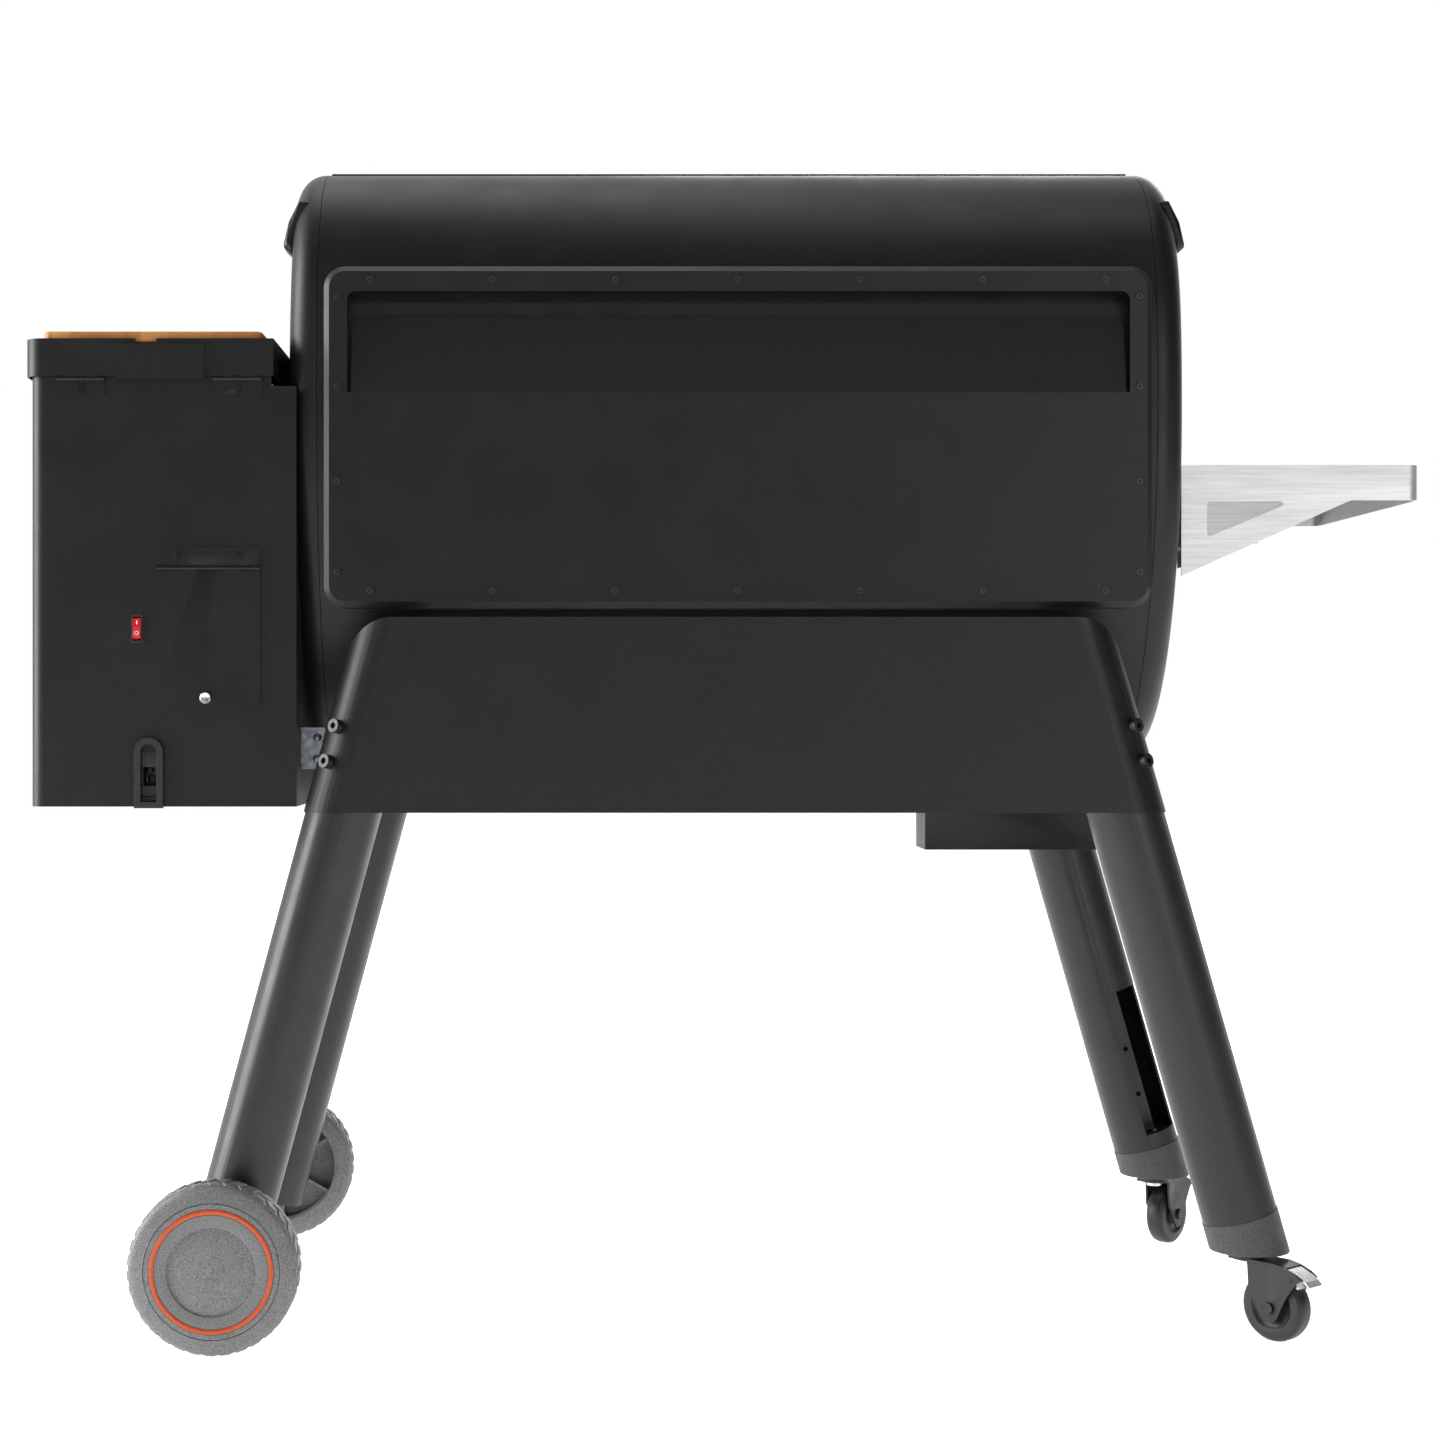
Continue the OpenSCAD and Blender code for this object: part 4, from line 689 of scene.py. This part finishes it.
# Bamboo board: a slab with a rolled edge and its four feet
BOARD_LOW, BOARD_TOP, FOOT_LOW, FOOT_R = 1055, 1067, 1053.02, 5
board = extrude("bamboo_board", rounded_rectangle(498, 731, -222, 222, 9, 10), BOARD_LOW, BOARD_TOP, "xy")
soften(board, 2.6, 4)
foot = [
    (0, FOOT_LOW), (FOOT_R - 0.4, FOOT_LOW), (FOOT_R, FOOT_LOW + 0.38), (FOOT_R, BOARD_LOW), (0, BOARD_LOW),
]  # fmt: skip
feet = [lathe("board_foot", foot, (x, y, 0), "z", 32) for x in (505, 725) for y in (213, -213)]
piece(board, BAMBOO, "cutting_board", "bamboo", "cutting_board")
foot_pads = soften(join(feet[0], *feet[1:]), 0, smooth=40)
foot_pads.name = "board_feet"
piece(foot_pads, BLACK_ABS, "cutting_board", "dark_plastic", "cutting_board")

# Generic on and off marks on the rocker, laid on its two faces
tilt = Matrix.Translation((0, 0.224, 0.7507)) @ Matrix.Rotation(math.radians(8), 4, "X")
mark_lean = math.degrees(math.atan2(1.0, 10.0))
bar = extrude("mark_on", rounded_rectangle(-0.45, 0.45, -1.9, 1.9, 0.3, 3), 0, 0.12)
circle = [(1.55, 0), (2.15, 0), (2.15, 0.12), (1.55, 0.12)]
ring_mark = lathe("mark_off", circle, (0, 0, 0), "y", 40)
for mark, z in ((bar, 5.6), (ring_mark, -5.6)):
    face_y = 5.8 + abs(z) / 10 + 0.02
    turn = math.radians(-mark_lean if z > 0 else mark_lean)
    mark.data.transform(
        Matrix.Translation((0.6298, 0, 0))
        @ tilt
        @ Matrix.Translation((0, face_y * MM, z * MM))
        @ Matrix.Rotation(turn, 4, "X")
    )
    piece(mark, WHITE_INK, "switch_rocker", "red_plastic")

# Galvanised bracket between the casing and the leg
angle_iron = [(434, 190), (461, 190), (461, 160), (459, 160), (459, 188), (434, 188)]
bracket = extrude("casing_bracket", angle_iron, 601, 646, "xy")
piece(soften(bracket, 0.5), ZINC, "stand", "galvanised_steel")
rivet_head = [(0, 0), (4.6, 0), (4.4, 1.2), (3, 2.3), (0, 2.8)]
rivets = [lathe("rivet", rivet_head, (443, 190, z), "y", 32) for z in (612, 635)]
rivets = soften(join(rivets[0], *rivets[1:]), 0, smooth=40)
rivets.name = "bracket_rivets"
piece(rivets, ZINC, "stand", "galvanised_steel")

# ---------- Light and floor ----------


def lamp(name, place, target, width, height, power):
    """A soft box: a rectangular area lamp that faces its target."""
    o = bpy.data.objects.new(name, bpy.data.lights.new(name, "AREA"))
    bpy.context.scene.collection.objects.link(o)
    o.location = place
    o.rotation_euler = (Vector(target) - Vector(place)).to_track_quat("-Z", "Y").to_euler()
    o.data.shape = "RECTANGLE"
    o.data.size = width
    o.data.size_y = height
    o.data.energy = power
    return o


lamp("top_box", (0.1, 0.2, 4.0), (0, 0.1, 1), 3.6, 1.6, 34)
lamp("hopper_side_box", (3.7, 0.45, 1.5), (0.2, 0.2, 0.5), 1.8, 3.0, 200)
lamp("shelf_back_box", (-2.3, 4.2, 1.4), (-0.5, 0, 0.7), 1.3, 1.6, 31)
lamp("back_high_box", (0.2, 4.4, 2.9), (0, 0.2, 1.0), 3.0, 0.6, 14)
lamp("front_fill", (-1.5, -4.5, 2.8), (0, 0, 0.7), 3.0, 2.0, 80)


def studio_world():
    """Bright surroundings in front and at the hopper end, dark behind and at the shelf end."""
    world = bpy.data.worlds.new("studio")
    bpy.context.scene.world = world
    world.use_nodes = True
    tree = world.node_tree
    tree.nodes.clear()
    place = add(tree, "ShaderNodeTexCoord")
    split = add(tree, "ShaderNodeSeparateXYZ", {"Vector": place.outputs["Generated"]})
    sources = {0: split.outputs["X"], 2: split.outputs["Y"]}
    across = add(tree, "ShaderNodeMath", sources, operation="MULTIPLY_ADD")
    across.inputs[1].default_value = -0.4
    limits = {"From_Min": -0.35, "From_Max": 0.1, "To_Min": 1.0, "To_Max": 0.03}
    fade = add(tree, "ShaderNodeMapRange", {"Value": across.outputs[0]}, **limits)
    seen = add(tree, "ShaderNodeLightPath")
    glow = add(tree, "ShaderNodeBackground", {"Strength": fade.outputs["Result"]}, Color=(1, 1, 1, 1))
    plain = add(tree, "ShaderNodeBackground", Color=(1, 1, 1, 1), Strength=1.0)
    sources = {0: seen.outputs["Is Camera Ray"], 1: glow.outputs[0], 2: plain.outputs[0]}
    mix = add(tree, "ShaderNodeMixShader", sources)
    out = add(tree, "ShaderNodeOutputWorld")
    tree.links.new(mix.outputs["Shader"], out.inputs["Surface"])


studio_world()

floor_mesh = bpy.data.meshes.new("studio_floor")
reach = 14
corners = [(-reach, -reach, 0), (reach, -reach, 0), (reach, reach, 0), (-reach, reach, 0)]
floor_mesh.from_pydata(corners, [], [(0, 1, 2, 3)])
studio_floor = new_object("studio_floor", floor_mesh)
# Matt white studio floor: it glows faintly so that it stays white to the horizon
floor_mesh.materials.append(
    surface("matt_white_studio_floor", "#f4f4f4", "#fbfbfb", 80.0, (0.85, 0.95), specular=0.1, glow=0.95)
)
